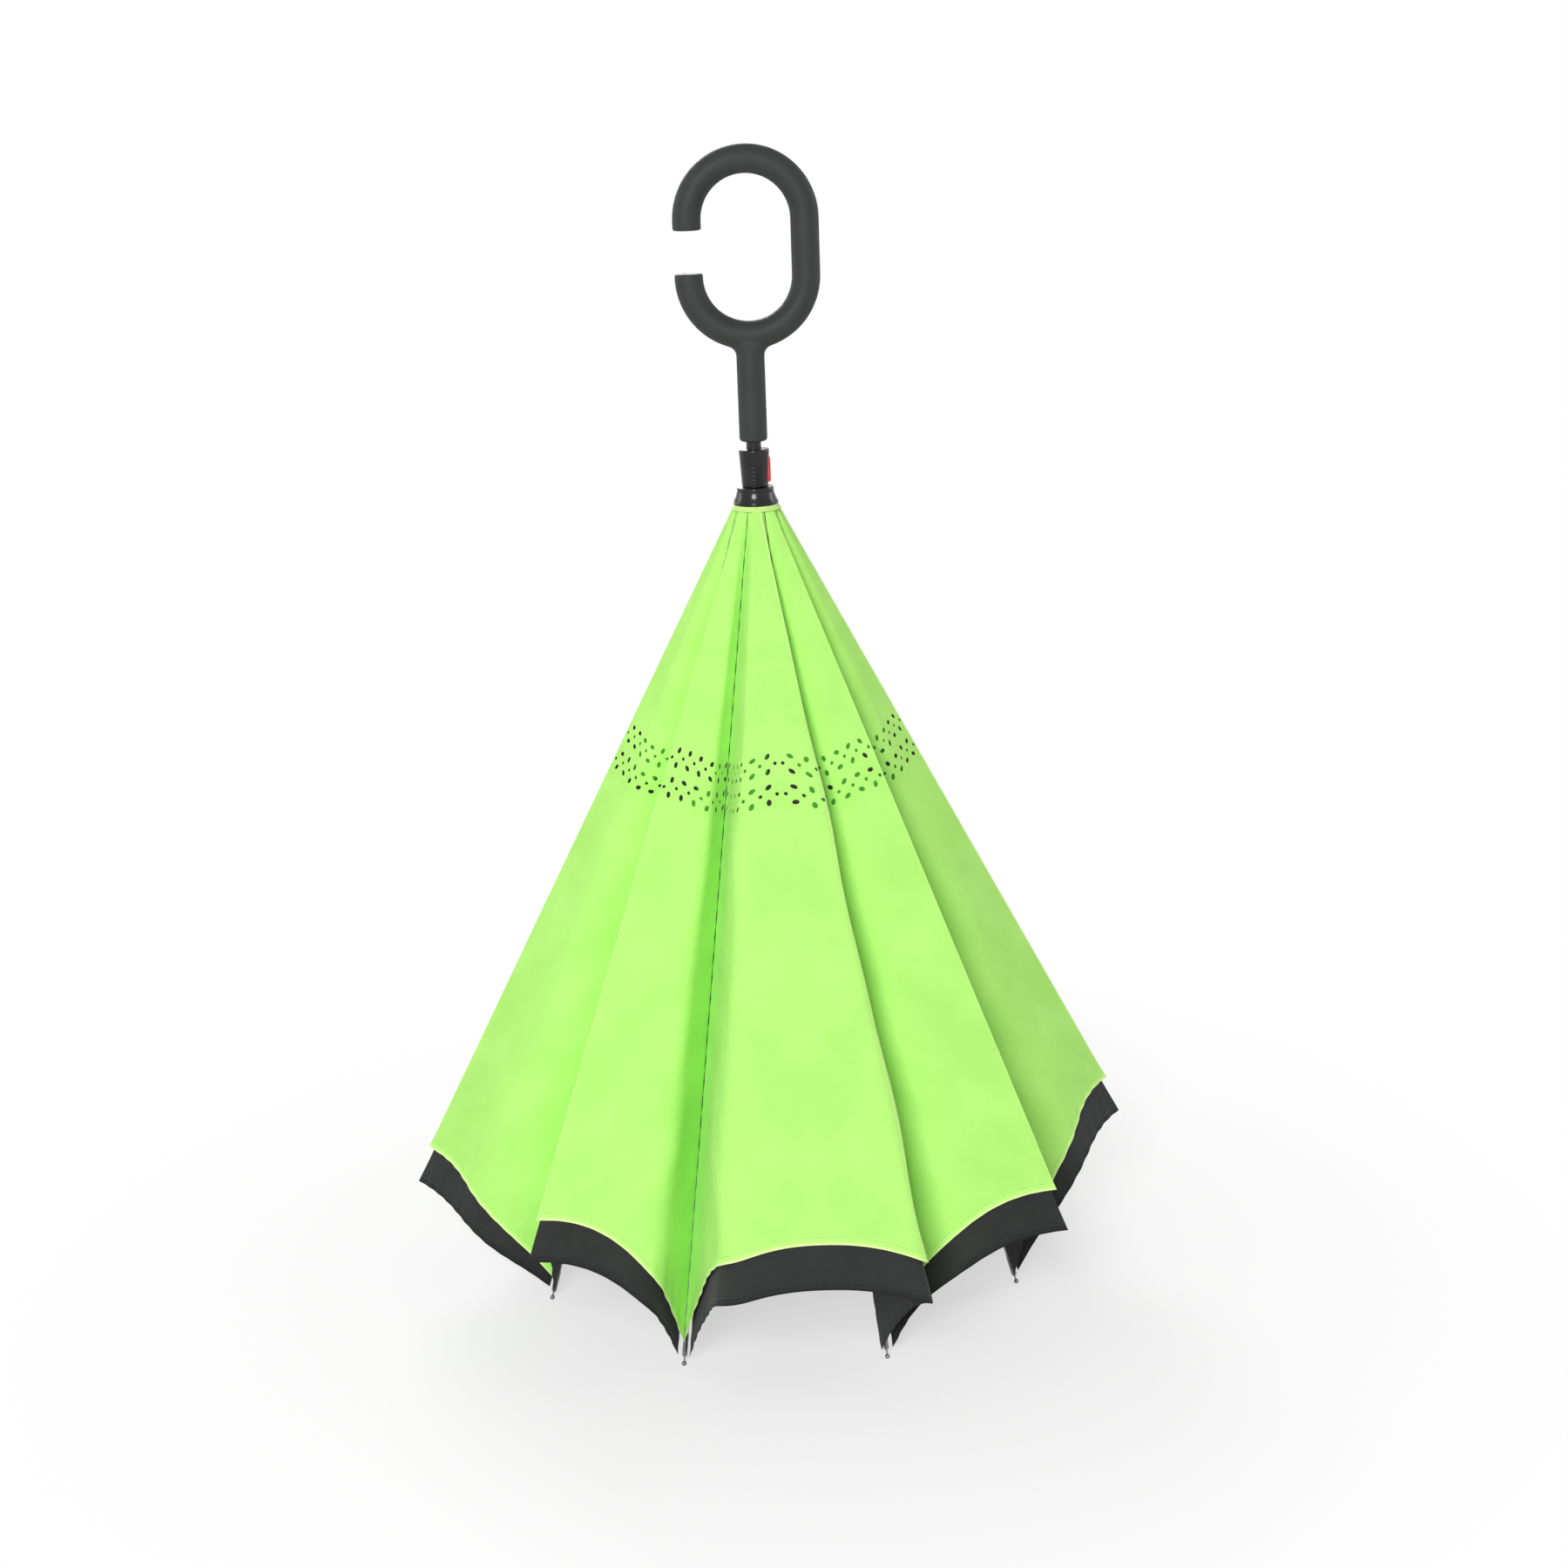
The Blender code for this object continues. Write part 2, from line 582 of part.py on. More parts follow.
def make_hub(parts, tools, material):
    """The hub fixed on the shaft: a channel for its wire ring and slots for the stretcher roots."""
    top = HUB_HEIGHT + HUB_ABOVE_PIVOT
    foot = HUB_HEIGHT - HUB_BELOW_PIVOT
    groove = WIRE_RADIUS + FIT_GAP
    profile = [
        (HUB_RADIUS, top),
        (HUB_RADIUS, HUB_HEIGHT - 2.0 * groove),
        (HUB_FOOT_RADIUS, foot),
        (BORE_RADIUS, foot),
        (BORE_RADIUS, top),
        (HUB_PIVOT_RADIUS - groove, top),
        (HUB_PIVOT_RADIUS - groove, HUB_HEIGHT - groove),
        (HUB_PIVOT_RADIUS + groove, HUB_HEIGHT - groove),
        (HUB_PIVOT_RADIUS + groove, top),
    ]
    slot = STRETCHER_EYE_HALF_WIDTH + SLOT_SIDE_GAP
    floor = HUB_PIVOT_RADIUS - STRETCHER_EYE_RADIUS - SLOT_SIDE_GAP
    return slotted_ring("hub", profile, slot, floor, parts, tools, material)


def make_hub_cap(parts, material):
    """The rounded cap over the far end of the shaft."""
    top = HUB_HEIGHT - HUB_BELOW_PIVOT - FIT_GAP
    floor = top - HUB_CAP_SOCKET
    round_start = top - HUB_CAP_LENGTH + HUB_CAP_RADIUS
    profile = [(0.0, floor), (BORE_RADIUS, floor), (BORE_RADIUS, top), (HUB_CAP_RADIUS, top)]
    for k in range(CAP_STEPS):
        angle = pi / 2.0 * k / CAP_STEPS
        profile.append((HUB_CAP_RADIUS * cos(angle), round_start - HUB_CAP_RADIUS * sin(angle)))
    profile.append((0.0, round_start - HUB_CAP_RADIUS))
    return turned("hub_cap", profile, False, TURNED_STEPS, parts, material)


def make_shaft(parts, tools, material):
    """The shaft: a steel tube from inside the stem to the cap, with two latch holes."""
    top = STEM_FOOT + SHAFT_SOCKET_DEPTH
    foot = HUB_HEIGHT - SHAFT_BELOW_HUB
    inner = SHAFT_RADIUS - SHAFT_WALL
    profile = [(SHAFT_RADIUS, top), (SHAFT_RADIUS, foot), (inner, foot), (inner, top)]
    shaft = turned("shaft", profile, True, SHAFT_STEPS, parts, material)
    for name, centre in (("closed_latch", BUTTON_CENTRE), ("open_latch", BUTTON_CENTRE - RUNNER_TRAVEL)):
        low = (0.0, -LATCH_HOLE_WIDTH / 2.0, centre - LATCH_HOLE_HEIGHT / 2.0)
        high = (SHAFT_RADIUS + OVERRUN, LATCH_HOLE_WIDTH / 2.0, centre + LATCH_HOLE_HEIGHT / 2.0)
        boolean(shaft, box(name, low, high, tools), "DIFFERENCE")
    return shaft


def runner_radius(height):
    """The runner's outer radius at a height above its foot."""
    return RUNNER_FOOT_RADIUS + (RUNNER_TOP_RADIUS - RUNNER_FOOT_RADIUS) * height / RUNNER_HEIGHT


def make_ridge(index, tools):
    """One thumb ridge: a short round bar bent round the runner."""
    height = RIDGE_FIRST_HEIGHT + RIDGE_PITCH * index
    radius = runner_radius(height)
    rings = []
    steps = 6
    for k in range(steps + 1):
        azimuth = RIDGE_AZIMUTH + RIDGE_SPREAD * (2.0 * k / steps - 1.0)
        swell = RIDGE_RADIUS * (1.0 if 0 < k < steps else 0.5)
        turn = azimuth_turn(azimuth)
        ring = []
        for side in range(8):
            angle = side * pi / 4.0
            ring.append(turn @ Vector((
                radius + swell * cos(angle), 0.0, RUNNER_FOOT + height + swell * sin(angle)
            )))
        rings.append(ring)
    return lofted(f"ridge_{index + 1}", rings, tools)


def make_runner(parts, tools, material):
    """The runner's body, with thumb ridges and a pocket for the button."""
    profile = [
        (RUNNER_TOP_RADIUS - RUNNER_EDGE, RUNNER_TOP),
        (RUNNER_TOP_RADIUS, RUNNER_TOP - RUNNER_EDGE),
        (RUNNER_FOOT_RADIUS, RUNNER_FOOT),
        (BORE_RADIUS, RUNNER_FOOT),
        (BORE_RADIUS, RUNNER_TOP),
    ]
    runner = turned("runner_form", profile, True, TURNED_STEPS, tools)
    floor = button_face() - BUTTON_THICKNESS - BUTTON_TRAVEL - BUTTON_SIDE_GAP
    half_width = BUTTON_WIDTH / 2.0 + BUTTON_SIDE_GAP
    half_height = BUTTON_HEIGHT / 2.0 + BUTTON_SIDE_GAP
    low = (floor, -half_width, BUTTON_CENTRE - half_height)
    high = (RUNNER_TOP_RADIUS + OVERRUN, half_width, BUTTON_CENTRE + half_height)
    boolean(runner, box("button_pocket", low, high, tools), "DIFFERENCE")
    for index in range(RIDGE_COUNT):
        boolean(runner, make_ridge(index, tools), "UNION")
    return add_object("runner_body", baked(runner), material, parts)


def button_face():
    """The button's outer face, measured from the axis."""
    return runner_radius(BUTTON_CENTRE_HEIGHT) + BUTTON_PROUD


def make_button(parts, material):
    """The release button: a tall pad with rounded edges, pressed towards the shaft."""
    face = button_face()
    button = box(
        "red_button",
        (-BUTTON_THICKNESS, -BUTTON_WIDTH / 2.0, -BUTTON_HEIGHT / 2.0),
        (0.0, BUTTON_WIDTH / 2.0, BUTTON_HEIGHT / 2.0),
        parts,
    )
    button.data.materials.append(material)
    button.matrix_world = azimuth_turn(BUTTON_AZIMUTH) @ Matrix.Translation((face, 0.0, BUTTON_CENTRE))
    bevel = button.modifiers.new("Rounding", "BEVEL")
    bevel.width = BUTTON_ROUNDING
    bevel.segments = 3
    shade(button.data)
    return button


def make_flare(parts, material):
    """The bell-shaped ring that covers the roots of the ribs."""
    top = FLARE_FOOT + FLARE_HEIGHT
    lip = FLARE_FOOT + FLARE_LIP_HEIGHT
    profile = [(FLARE_TOP_RADIUS - RUNNER_EDGE, top), (FLARE_TOP_RADIUS, top - RUNNER_EDGE)]
    steps = 6
    for k in range(1, steps + 1):
        share = k / steps
        radius = FLARE_TOP_RADIUS + (FLARE_FOOT_RADIUS - FLARE_EDGE - FLARE_TOP_RADIUS) * share ** 2
        profile.append((radius, top - RUNNER_EDGE + (lip + FLARE_EDGE - top + RUNNER_EDGE) * share))
    profile += [
        (FLARE_FOOT_RADIUS, lip),
        (FLARE_FOOT_RADIUS, FLARE_FOOT + FLARE_EDGE),
        (FLARE_FOOT_RADIUS - FLARE_EDGE, FLARE_FOOT),
        (BORE_RADIUS, FLARE_FOOT),
        (BORE_RADIUS, top),
    ]
    return turned("flare_ring", profile, True, TURNED_STEPS, parts, material)


def rounded_edge(size):
    """Points round an edge: how far in from the side and how far in from the end."""
    points = []
    for k in range(EDGE_STEPS + 1):
        angle = pi / 2.0 * k / EDGE_STEPS
        points.append((size * (1.0 - sin(angle)), size * (1.0 - cos(angle))))
    return points


def hook_points():
    """The hook's centre line in XZ with its radius, from its lower lip round to its upper lip."""
    low_centre = HOOK_FOOT + HOOK_TUBE_RADIUS + HOOK_ARC_RADIUS
    high_centre = low_centre + HOOK_STRAIGHT
    upper_lip = high_centre - HOOK_UPPER_LIP
    lower_lip = upper_lip - HOOK_MOUTH
    lip = rounded_edge(HOOK_EDGE)
    steps = round(pi / ARC_STEP)
    points = []
    for side, end in lip:
        points.append((Vector((-HOOK_ARC_RADIUS, 0.0, lower_lip - end)), HOOK_TUBE_RADIUS - side))
    for centre, first in ((low_centre, pi), (high_centre, 0.0)):
        for k in range(steps + 1):
            angle = first + pi * k / steps
            point = Vector((HOOK_ARC_RADIUS * cos(angle), 0.0, centre + HOOK_ARC_RADIUS * sin(angle)))
            points.append((point, HOOK_TUBE_RADIUS))
    for side, end in reversed(lip):
        points.append((Vector((-HOOK_ARC_RADIUS, 0.0, upper_lip + end)), HOOK_TUBE_RADIUS - side))
    return points


def make_hook(tools):
    """The hook's tube: rings square to the centre line, drawn in at both lips."""
    points = hook_points()
    rings = []
    for i, (point, radius) in enumerate(points):
        before = points[max(i - 1, 0)][0]
        after = points[min(i + 1, len(points) - 1)][0]
        ahead = (after - before).normalized()
        side = Vector((0.0, 1.0, 0.0))
        out = ahead.cross(side)
        ring = []
        for k in range(HOOK_SIDES):
            angle = 2.0 * pi * (k + 0.5) / HOOK_SIDES
            ring.append(point + side * (radius * cos(angle)) + out * (radius * sin(angle)))
        rings.append(ring)
    return lofted("hook_form", rings, tools)


def stem_sections():
    """Height, half width and half depth up the stem: rounded foot, straight, then the fillets into the hook."""
    sections = [
        (STEM_FOOT + end, HOOK_TUBE_RADIUS - side, HOOK_TUBE_RADIUS - side) for side, end in rounded_edge(STEM_EDGE)
    ]
    outer = HOOK_ARC_RADIUS + HOOK_TUBE_RADIUS
    hook_centre = HOOK_FOOT + outer
    fillet_centre = HOOK_TUBE_RADIUS + STEM_FILLET
    drop = sqrt((outer + STEM_FILLET) ** 2 - fillet_centre ** 2)
    last = pi / 2.0 - asin(fillet_centre / (outer + STEM_FILLET))
    for k in range(FILLET_STEPS + 1):
        angle = last * k / FILLET_STEPS
        height = hook_centre - drop + STEM_FILLET * sin(angle)
        sections.append((height, fillet_centre - STEM_FILLET * cos(angle), HOOK_TUBE_RADIUS))
    sections.append((HOOK_FOOT + HOOK_TUBE_RADIUS, HOOK_TUBE_RADIUS, HOOK_TUBE_RADIUS - STEM_DRAW_IN))
    return sections


def make_handle(parts, tools, material):
    """The handle: hook and stem in one moulding, with the shaft's socket in the stem."""
    rings = []
    for height, wide, deep in stem_sections():
        ring = []
        for k in range(HOOK_SIDES):
            angle = 2.0 * pi * k / HOOK_SIDES
            ring.append(Vector((wide * cos(angle), deep * sin(angle), height)))
        rings.append(ring)
    stem = lofted("stem_form", rings, tools)
    boolean(stem, make_hook(tools), "UNION")
    top = STEM_FOOT + SHAFT_SOCKET_DEPTH + FIT_GAP
    socket = cylinder("stem_socket", BORE_RADIUS, STEM_FOOT - OVERRUN, top, "Z", tools, SHAFT_STEPS)
    boolean(stem, socket, "DIFFERENCE")
    return add_object("handle", baked(stem), material, parts)


def sine_fold(turn):
    """An arch of equal steps whose direction swings from +turn to -turn, as a folded sheet bends."""
    across, out = 0.0, 0.0
    points = [(across, out)]
    for k in range(GORE_COLUMNS):
        direction = turn * cos(pi * (k + 0.5) / GORE_COLUMNS)
        across += cos(direction)
        out += sin(direction)
        points.append((across, out))
    return points


def fold_section(half_chord, height):
    """The arch that spans the chord and stands at the height, as (sideways, outwards) points."""
    low, high = 0.0, LARGEST_TURN
    for _ in range(30):
        turn = (low + high) / 2.0
        points = sine_fold(turn)
        chord = points[-1][0]
        tallest = max(out for _, out in points)
        if chord > 0.0 and tallest / chord < height / (2.0 * half_chord):
            low = turn
        else:
            high = turn
    points = sine_fold(low)
    chord = points[-1][0]
    tallest = max(out for _, out in points)
    wide = 2.0 * half_chord / chord
    tall = height / tallest
    return [((across - chord / 2.0) * wide, out * tall) for across, out in points]


def gore_point(layer, column, share):
    """A point of a panel: its column across the fold and its share of the way from collar to hem."""
    apex = PIVOT_HEIGHT + (RIB_PIVOT_RADIUS + layer["offset"] / cos(RIB_CLOSED_ANGLE)) / tan(RIB_CLOSED_ANGLE)
    edge = abs(2.0 * column / GORE_COLUMNS - 1.0)
    hem = layer["crest_height"] + (layer["corner_height"] - layer["crest_height"]) * edge ** HEM_POWER
    height = layer["top_height"] + (hem - layer["top_height"]) * share
    seam_radius = (apex - height) * tan(RIB_CLOSED_ANGLE)
    base = seam_radius * cos(HALF_SECTOR) + layer["tuck"] * sin(HALF_SECTOR)
    half_chord = seam_radius * sin(HALF_SECTOR) - layer["tuck"] * cos(HALF_SECTOR)
    start = FLARE_FOOT - COLLAR_BELOW_FLARE
    crest_radius = COLLAR_RADIUS + (start - height) * tan(CREST_SLOPE) - layer["inset"]
    across, out = fold_section(half_chord, crest_radius - base)[column]
    return Vector((base + out, across + layer["lean"] * out, height))


def make_gore(name, layer, azimuth, parts, material):
    """One panel of cloth between two ribs: a folded sheet with a wall inwards."""
    bm = bmesh.new()
    turn = azimuth_turn(azimuth)
    rows = []
    for row in range(GORE_ROWS + 1):
        rows.append([
            bm.verts.new(turn @ gore_point(layer, column, row / GORE_ROWS)) for column in range(GORE_COLUMNS + 1)
        ])
    for upper, lower in zip(rows, rows[1:]):
        for column in range(GORE_COLUMNS):
            bm.faces.new((upper[column], lower[column], lower[column + 1], upper[column + 1]))
    mesh = bpy.data.meshes.new(name)
    bm.to_mesh(mesh)
    bm.free()
    mesh.shade_smooth()
    gore = add_object(name, mesh, material, parts)
    wall = gore.modifiers.new("Cloth", "SOLIDIFY")
    wall.thickness = CLOTH_THICKNESS
    wall.offset = -1.0
    return gore


def corner_height(inset, offset):
    """The height where a seam ends, over the rib and short of its end."""
    return PIVOT_HEIGHT - (RIB_LENGTH - inset) * cos(RIB_CLOSED_ANGLE) + offset * sin(RIB_CLOSED_ANGLE)


def make_canopy(parts, green, black):
    """Both layers of the canopy, one panel of each between each two ribs."""
    green_corner = corner_height(GREEN_CORNER_INSET, SEAM_OFFSET)
    for index in range(RIB_COUNT):
        azimuth = index * SECTOR
        green_layer = {
            "offset": SEAM_OFFSET,
            "tuck": SEAM_GAP,
            "inset": 0.0,
            "top_height": FLARE_FOOT - COLLAR_BELOW_FLARE,
            "crest_height": green_corner + GREEN_CREST_RISE,
            "corner_height": green_corner,
            "lean": LEAN_SHARES[index % len(LEAN_SHARES)],
        }
        black_rise = (BLACK_START_RADIUS - RIB_PIVOT_RADIUS) / tan(RIB_CLOSED_ANGLE)
        black_layer = {
            "offset": BLACK_SEAM_OFFSET,
            "tuck": BLACK_TUCK,
            "inset": BLACK_INSET,
            "top_height": PIVOT_HEIGHT - black_rise,
            "crest_height": green_corner + GREEN_CREST_RISE - BLACK_CREST_EXTRA,
            "corner_height": corner_height(BLACK_CORNER_INSET, BLACK_SEAM_OFFSET),
            "lean": LEAN_SHARES[index % len(LEAN_SHARES)],
        }
        make_gore(f"green_gore_{index + 1}", green_layer, azimuth, parts, green)
        make_gore(f"black_gore_{index + 1}", black_layer, azimuth, parts, black)


def main():
    """Build the whole umbrella."""
    clear_scene()
    parts = make_collection("inverted_umbrella")
    tools = make_collection("cutters")
    soft_touch = make_material("soft_touch", (0.045, 0.047, 0.050), 0.75)
    gloss_black = make_material("gloss_black", (0.010, 0.010, 0.011), 0.18)
    steel = make_material("steel", (0.45, 0.46, 0.47), 0.35, 1.0)
    red = make_material("red", (0.56, 0.06, 0.07), 0.35)
    green = make_material("green_cloth", (0.24, 0.72, 0.06), 0.8)
    black = make_material("black_cloth", (0.026, 0.028, 0.027), 0.85)
    make_handle(parts, tools, soft_touch)
    make_shaft(parts, tools, steel)
    make_runner(parts, tools, gloss_black)
    make_button(parts, red)
    make_flare(parts, gloss_black)
    make_crown(parts, tools, gloss_black)
    make_wire_ring("crown_ring", RIB_PIVOT_RADIUS, PIVOT_HEIGHT, parts, steel)
    make_hub(parts, tools, gloss_black)
    make_wire_ring("hub_ring", HUB_PIVOT_RADIUS, HUB_HEIGHT, parts, steel)
    make_hub_cap(parts, gloss_black)
    make_ribs(parts, tools, steel)
    make_tips(parts, tools, steel)
    make_stretchers(parts, tools, steel)
    make_canopy(parts, green, black)


main()
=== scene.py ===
# %% [markdown]
# # Inverted umbrella, closed and standing on its rib tips
# A reverse umbrella closes with its wet side inwards, so it can stand on the ends of its ribs with the hook
# handle up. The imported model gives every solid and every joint. This script adds the looks: a soft-touch
# handle, a glossy runner, two layers of cloth with a perforated band, hems, stitches and fine metal.
# Everything is in metres, and every piece is placed from the frame's own boxes and joints.
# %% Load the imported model
import json
from math import asin, cos, hypot, pi, radians, sin, sqrt, tan

import bpy
import bmesh
import numpy as np
from mathutils import Matrix, Vector


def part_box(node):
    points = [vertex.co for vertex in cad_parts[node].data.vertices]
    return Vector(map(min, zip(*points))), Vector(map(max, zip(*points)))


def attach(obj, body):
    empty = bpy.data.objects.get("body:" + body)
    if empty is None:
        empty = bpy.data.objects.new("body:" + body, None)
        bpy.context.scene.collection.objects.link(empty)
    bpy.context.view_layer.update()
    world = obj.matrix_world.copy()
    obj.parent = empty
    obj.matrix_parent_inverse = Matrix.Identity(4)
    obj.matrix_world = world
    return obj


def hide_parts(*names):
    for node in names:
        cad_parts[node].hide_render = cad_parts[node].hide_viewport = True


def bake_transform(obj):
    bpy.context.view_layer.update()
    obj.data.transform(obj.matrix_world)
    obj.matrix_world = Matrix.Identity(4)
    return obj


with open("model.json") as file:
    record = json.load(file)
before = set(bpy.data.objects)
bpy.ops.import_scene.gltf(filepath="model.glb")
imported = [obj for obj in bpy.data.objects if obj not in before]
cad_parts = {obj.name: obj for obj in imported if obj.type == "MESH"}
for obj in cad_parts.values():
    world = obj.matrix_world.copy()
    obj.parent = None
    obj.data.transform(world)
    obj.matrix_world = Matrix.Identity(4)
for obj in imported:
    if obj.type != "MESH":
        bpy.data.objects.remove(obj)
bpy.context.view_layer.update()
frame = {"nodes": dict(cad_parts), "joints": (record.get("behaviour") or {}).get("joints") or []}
joints = {joint["name"]: joint for joint in frame["joints"]}

# %% [markdown]
# ## Where the mechanism is
# The ribs turn on a ring just under the flare ring. Its radius and height come from the first rib's joint,
# and the rest of the heights come from the boxes of the nodes, so the looks sit on the solids by themselves.
# %% Places on the frame
RIB_COUNT = 8
SECTOR = 2.0 * pi / RIB_COUNT
HALF_SECTOR = SECTOR / 2.0
RIB_ANGLE = radians(17.0)
first_pivot = Vector(joints["rib_hinge_1"]["pos_m"])
PIVOT_HEIGHT = first_pivot.z
PIVOT_RADIUS = hypot(first_pivot.x, first_pivot.y)
RUNNER_FOOT, RUNNER_TOP = (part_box("runner_body")[k][2] for k in (0, 1))
FLARE_FOOT, FLARE_TOP = (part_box("flare_ring")[k][2] for k in (0, 1))
STEM_FOOT, HOOK_TOP = (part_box("handle")[k][2] for k in (0, 1))
print("pivot ring", round(PIVOT_RADIUS, 5), round(PIVOT_HEIGHT, 5))


def outwards(azimuth):
    """The level direction away from the axis. Azimuth 0 faces the camera and grows to its right."""
    return Vector((sin(azimuth), -cos(azimuth), 0.0))


def sideways(azimuth):
    """The level direction along which the azimuth grows."""
    return Vector((cos(azimuth), sin(azimuth), 0.0))


def rib_azimuth(index):
    """Azimuth of a rib. Rib 0 is just left of the front, rib 1 just right of it."""
    return (index - 0.5) * SECTOR


# %% [markdown]
# ## Small tools for meshes and node trees
# A finished piece is a plain mesh at the origin, so that the frame can carry it. These helpers link an
# object, turn its modifiers into a mesh, and write node trees in a few lines each.
# %% Helpers for objects
MERGE = 1e-6


def add_piece(name, mesh, *materials):
    """Link a new object at the origin."""
    piece = bpy.data.objects.new(name, mesh)
    for material in materials:
        mesh.materials.append(material)
    bpy.context.scene.collection.objects.link(piece)
    return piece


def plain_mesh(piece):
    """The evaluated mesh of an object, free of its modifiers. The object is removed."""
    graph = bpy.context.evaluated_depsgraph_get()
    mesh = bpy.data.meshes.new_from_object(piece.evaluated_get(graph), depsgraph=graph)
    bpy.data.objects.remove(piece)
    return mesh


def smooth(piece, angle=35.0):
    """Smooth shading with sharp edges kept."""
    piece.data.shade_smooth()
    piece.data.set_sharp_from_angle(angle=radians(angle))
    return piece


def turned(name, profile, steps, material, closed=False):
    """A turned piece from a profile of (radius, height)."""
    mesh = bpy.data.meshes.new(name)
    edges = [(k, k + 1) for k in range(len(profile) - 1)]
    if closed:
        edges.append((len(profile) - 1, 0))
    mesh.from_pydata([(radius, 0.0, height) for radius, height in profile], edges, [])
    outline = add_piece(name, mesh, material)
    screw = outline.modifiers.new("Turn", "SCREW")
    screw.steps = steps
    screw.render_steps = steps
    screw.use_merge_vertices = True
    screw.merge_threshold = MERGE
    mesh = plain_mesh(outline)
    bm = bmesh.new()
    bm.from_mesh(mesh)
    bmesh.ops.recalc_face_normals(bm, faces=bm.faces)
    bm.to_mesh(mesh)
    bm.free()
    return smooth(add_piece(name, mesh))


def arc(centre, radius, first, last, steps):
    """Points of (radius, height) on an arc, with its angles in degrees."""
    points = []
    for k in range(steps + 1):
        angle = radians(first + (last - first) * k / steps)
        points.append((centre[0] + radius * cos(angle), centre[1] + radius * sin(angle)))
    return points


# %% Helpers for node trees
def put(tree, kind, links=None, **settings):
    """Add a node: settings are its properties, and links give each input a value or another node's output."""
    node = tree.nodes.new(kind)
    for key, value in settings.items():
        setattr(node, key, value)
    for socket, source in (links or {}).items():
        if isinstance(source, bpy.types.NodeSocket):
            tree.links.new(source, node.inputs[socket])
        else:
            node.inputs[socket].default_value = source
    return node


def new_finish(name, colour, roughness, metallic=0.0, **constants):
    """A Principled material. Returns the material, its tree and its shader."""
    material = bpy.data.materials.new(name)
    material.use_nodes = True
    tree = material.node_tree
    shader = tree.nodes["Principled BSDF"]
    shader.inputs["Base Color"].default_value = (*colour, 1.0)
    shader.inputs["Roughness"].default_value = roughness
    shader.inputs["Metallic"].default_value = metallic
    for socket, value in constants.items():
        shader.inputs[socket.replace("_", " ")].default_value = value
    return material, tree, shader


def noise(tree, vector, scale, detail=2.0):
    """A noise texture's value on the given coordinates."""
    links = {"Vector": vector, "Scale": scale, "Detail": detail}
    return put(tree, "ShaderNodeTexNoise", links).outputs["Fac"]


def own_place(tree):
    """A point's place on its own object, in metres."""
    return put(tree, "ShaderNodeTexCoord").outputs["Object"]


def stretched_place(tree, place, share):
    """The same place, squeezed in height, so that a texture on it runs lengthwise."""
    links = {"Vector": place, "Scale": (1.0, 1.0, share)}
    return put(tree, "ShaderNodeMapping", links).outputs["Vector"]


def calculate(tree, operation, *values):
    """A sum on numbers or nodes' outputs."""
    return put(tree, "ShaderNodeMath", dict(enumerate(values)), operation=operation).outputs["Value"]


def spread(tree, value, low, high, first=0.35, last=0.65):
    """Carry a value from one range to another."""
    links = {"Value": value, "From Min": first, "From Max": last, "To Min": low, "To Max": high}
    return put(tree, "ShaderNodeMapRange", links).outputs["Result"]


def blend_colours(tree, factor, first, second):
    """A colour between two, by a factor. Each is a colour or a node's output."""
    node = put(tree, "ShaderNodeMix", {0: factor}, data_type="RGBA")
    for socket, colour in ((6, first), (7, second)):
        if isinstance(colour, bpy.types.NodeSocket):
            tree.links.new(colour, node.inputs[socket])
        else:
            node.inputs[socket].default_value = (*colour, 1.0)
    return node.outputs[2]


def mottle(tree, value, dark, light):
    """A colour that wanders between two as a noise does."""
    return blend_colours(tree, spread(tree, value, 0.0, 1.0), dark, light)


def raise_surface(tree, shader, height, strength, distance):
    """Bump from a height."""
    links = {"Height": height, "Strength": strength, "Distance": distance}
    bump = put(tree, "ShaderNodeBump", links)
    tree.links.new(bump.outputs["Normal"], shader.inputs["Normal"])


# %% [markdown]
# ## Finishes of the hard parts
# The handle has a soft-touch skin: matte, very finely grained, a little paler where hands rub it. The runner
# and the flare ring are polished black plastic, the ribs are plated steel and the button is red plastic.
# All patterns read Object coordinates, which are metres here, so a scale of 3000 is a grain of 0.3 mm.
# %% Soft-touch rubber
def make_soft_touch():
    """Matte dark grey with a fine grain and slightly uneven sheen."""
    charcoal = (0.030, 0.030, 0.030)
    material, tree, shader = new_finish("soft_touch_rubber", charcoal, 0.70, Specular_IOR_Level=0.22)
    place = own_place(tree)
    grain = noise(tree, place, 3200.0, 3.0)
    cloud = noise(tree, place, 38.0, 4.0)
    tone = mottle(tree, cloud, (0.027, 0.028, 0.028), (0.036, 0.037, 0.037))
    tree.links.new(tone, shader.inputs["Base Color"])
    tree.links.new(spread(tree, cloud, 0.56, 0.70), shader.inputs["Roughness"])
    raise_surface(tree, shader, grain, 0.30, 0.00012)
    return material


# %% Polished plastics
def make_gloss(name, dark, light, low, high):
    """Moulded plastic: a polish that varies a little and hair-fine scratches."""
    material, tree, shader = new_finish(name, dark, low, Specular_IOR_Level=0.28)
    place = own_place(tree)
    scratches = noise(tree, stretched_place(tree, place, 0.12), 1800.0, 2.0)
    cloud = noise(tree, place, 120.0, 3.0)
    tree.links.new(mottle(tree, cloud, dark, light), shader.inputs["Base Color"])
    tree.links.new(spread(tree, scratches, low, high), shader.inputs["Roughness"])
    raise_surface(tree, shader, cloud, 0.10, 0.00020)
    return material


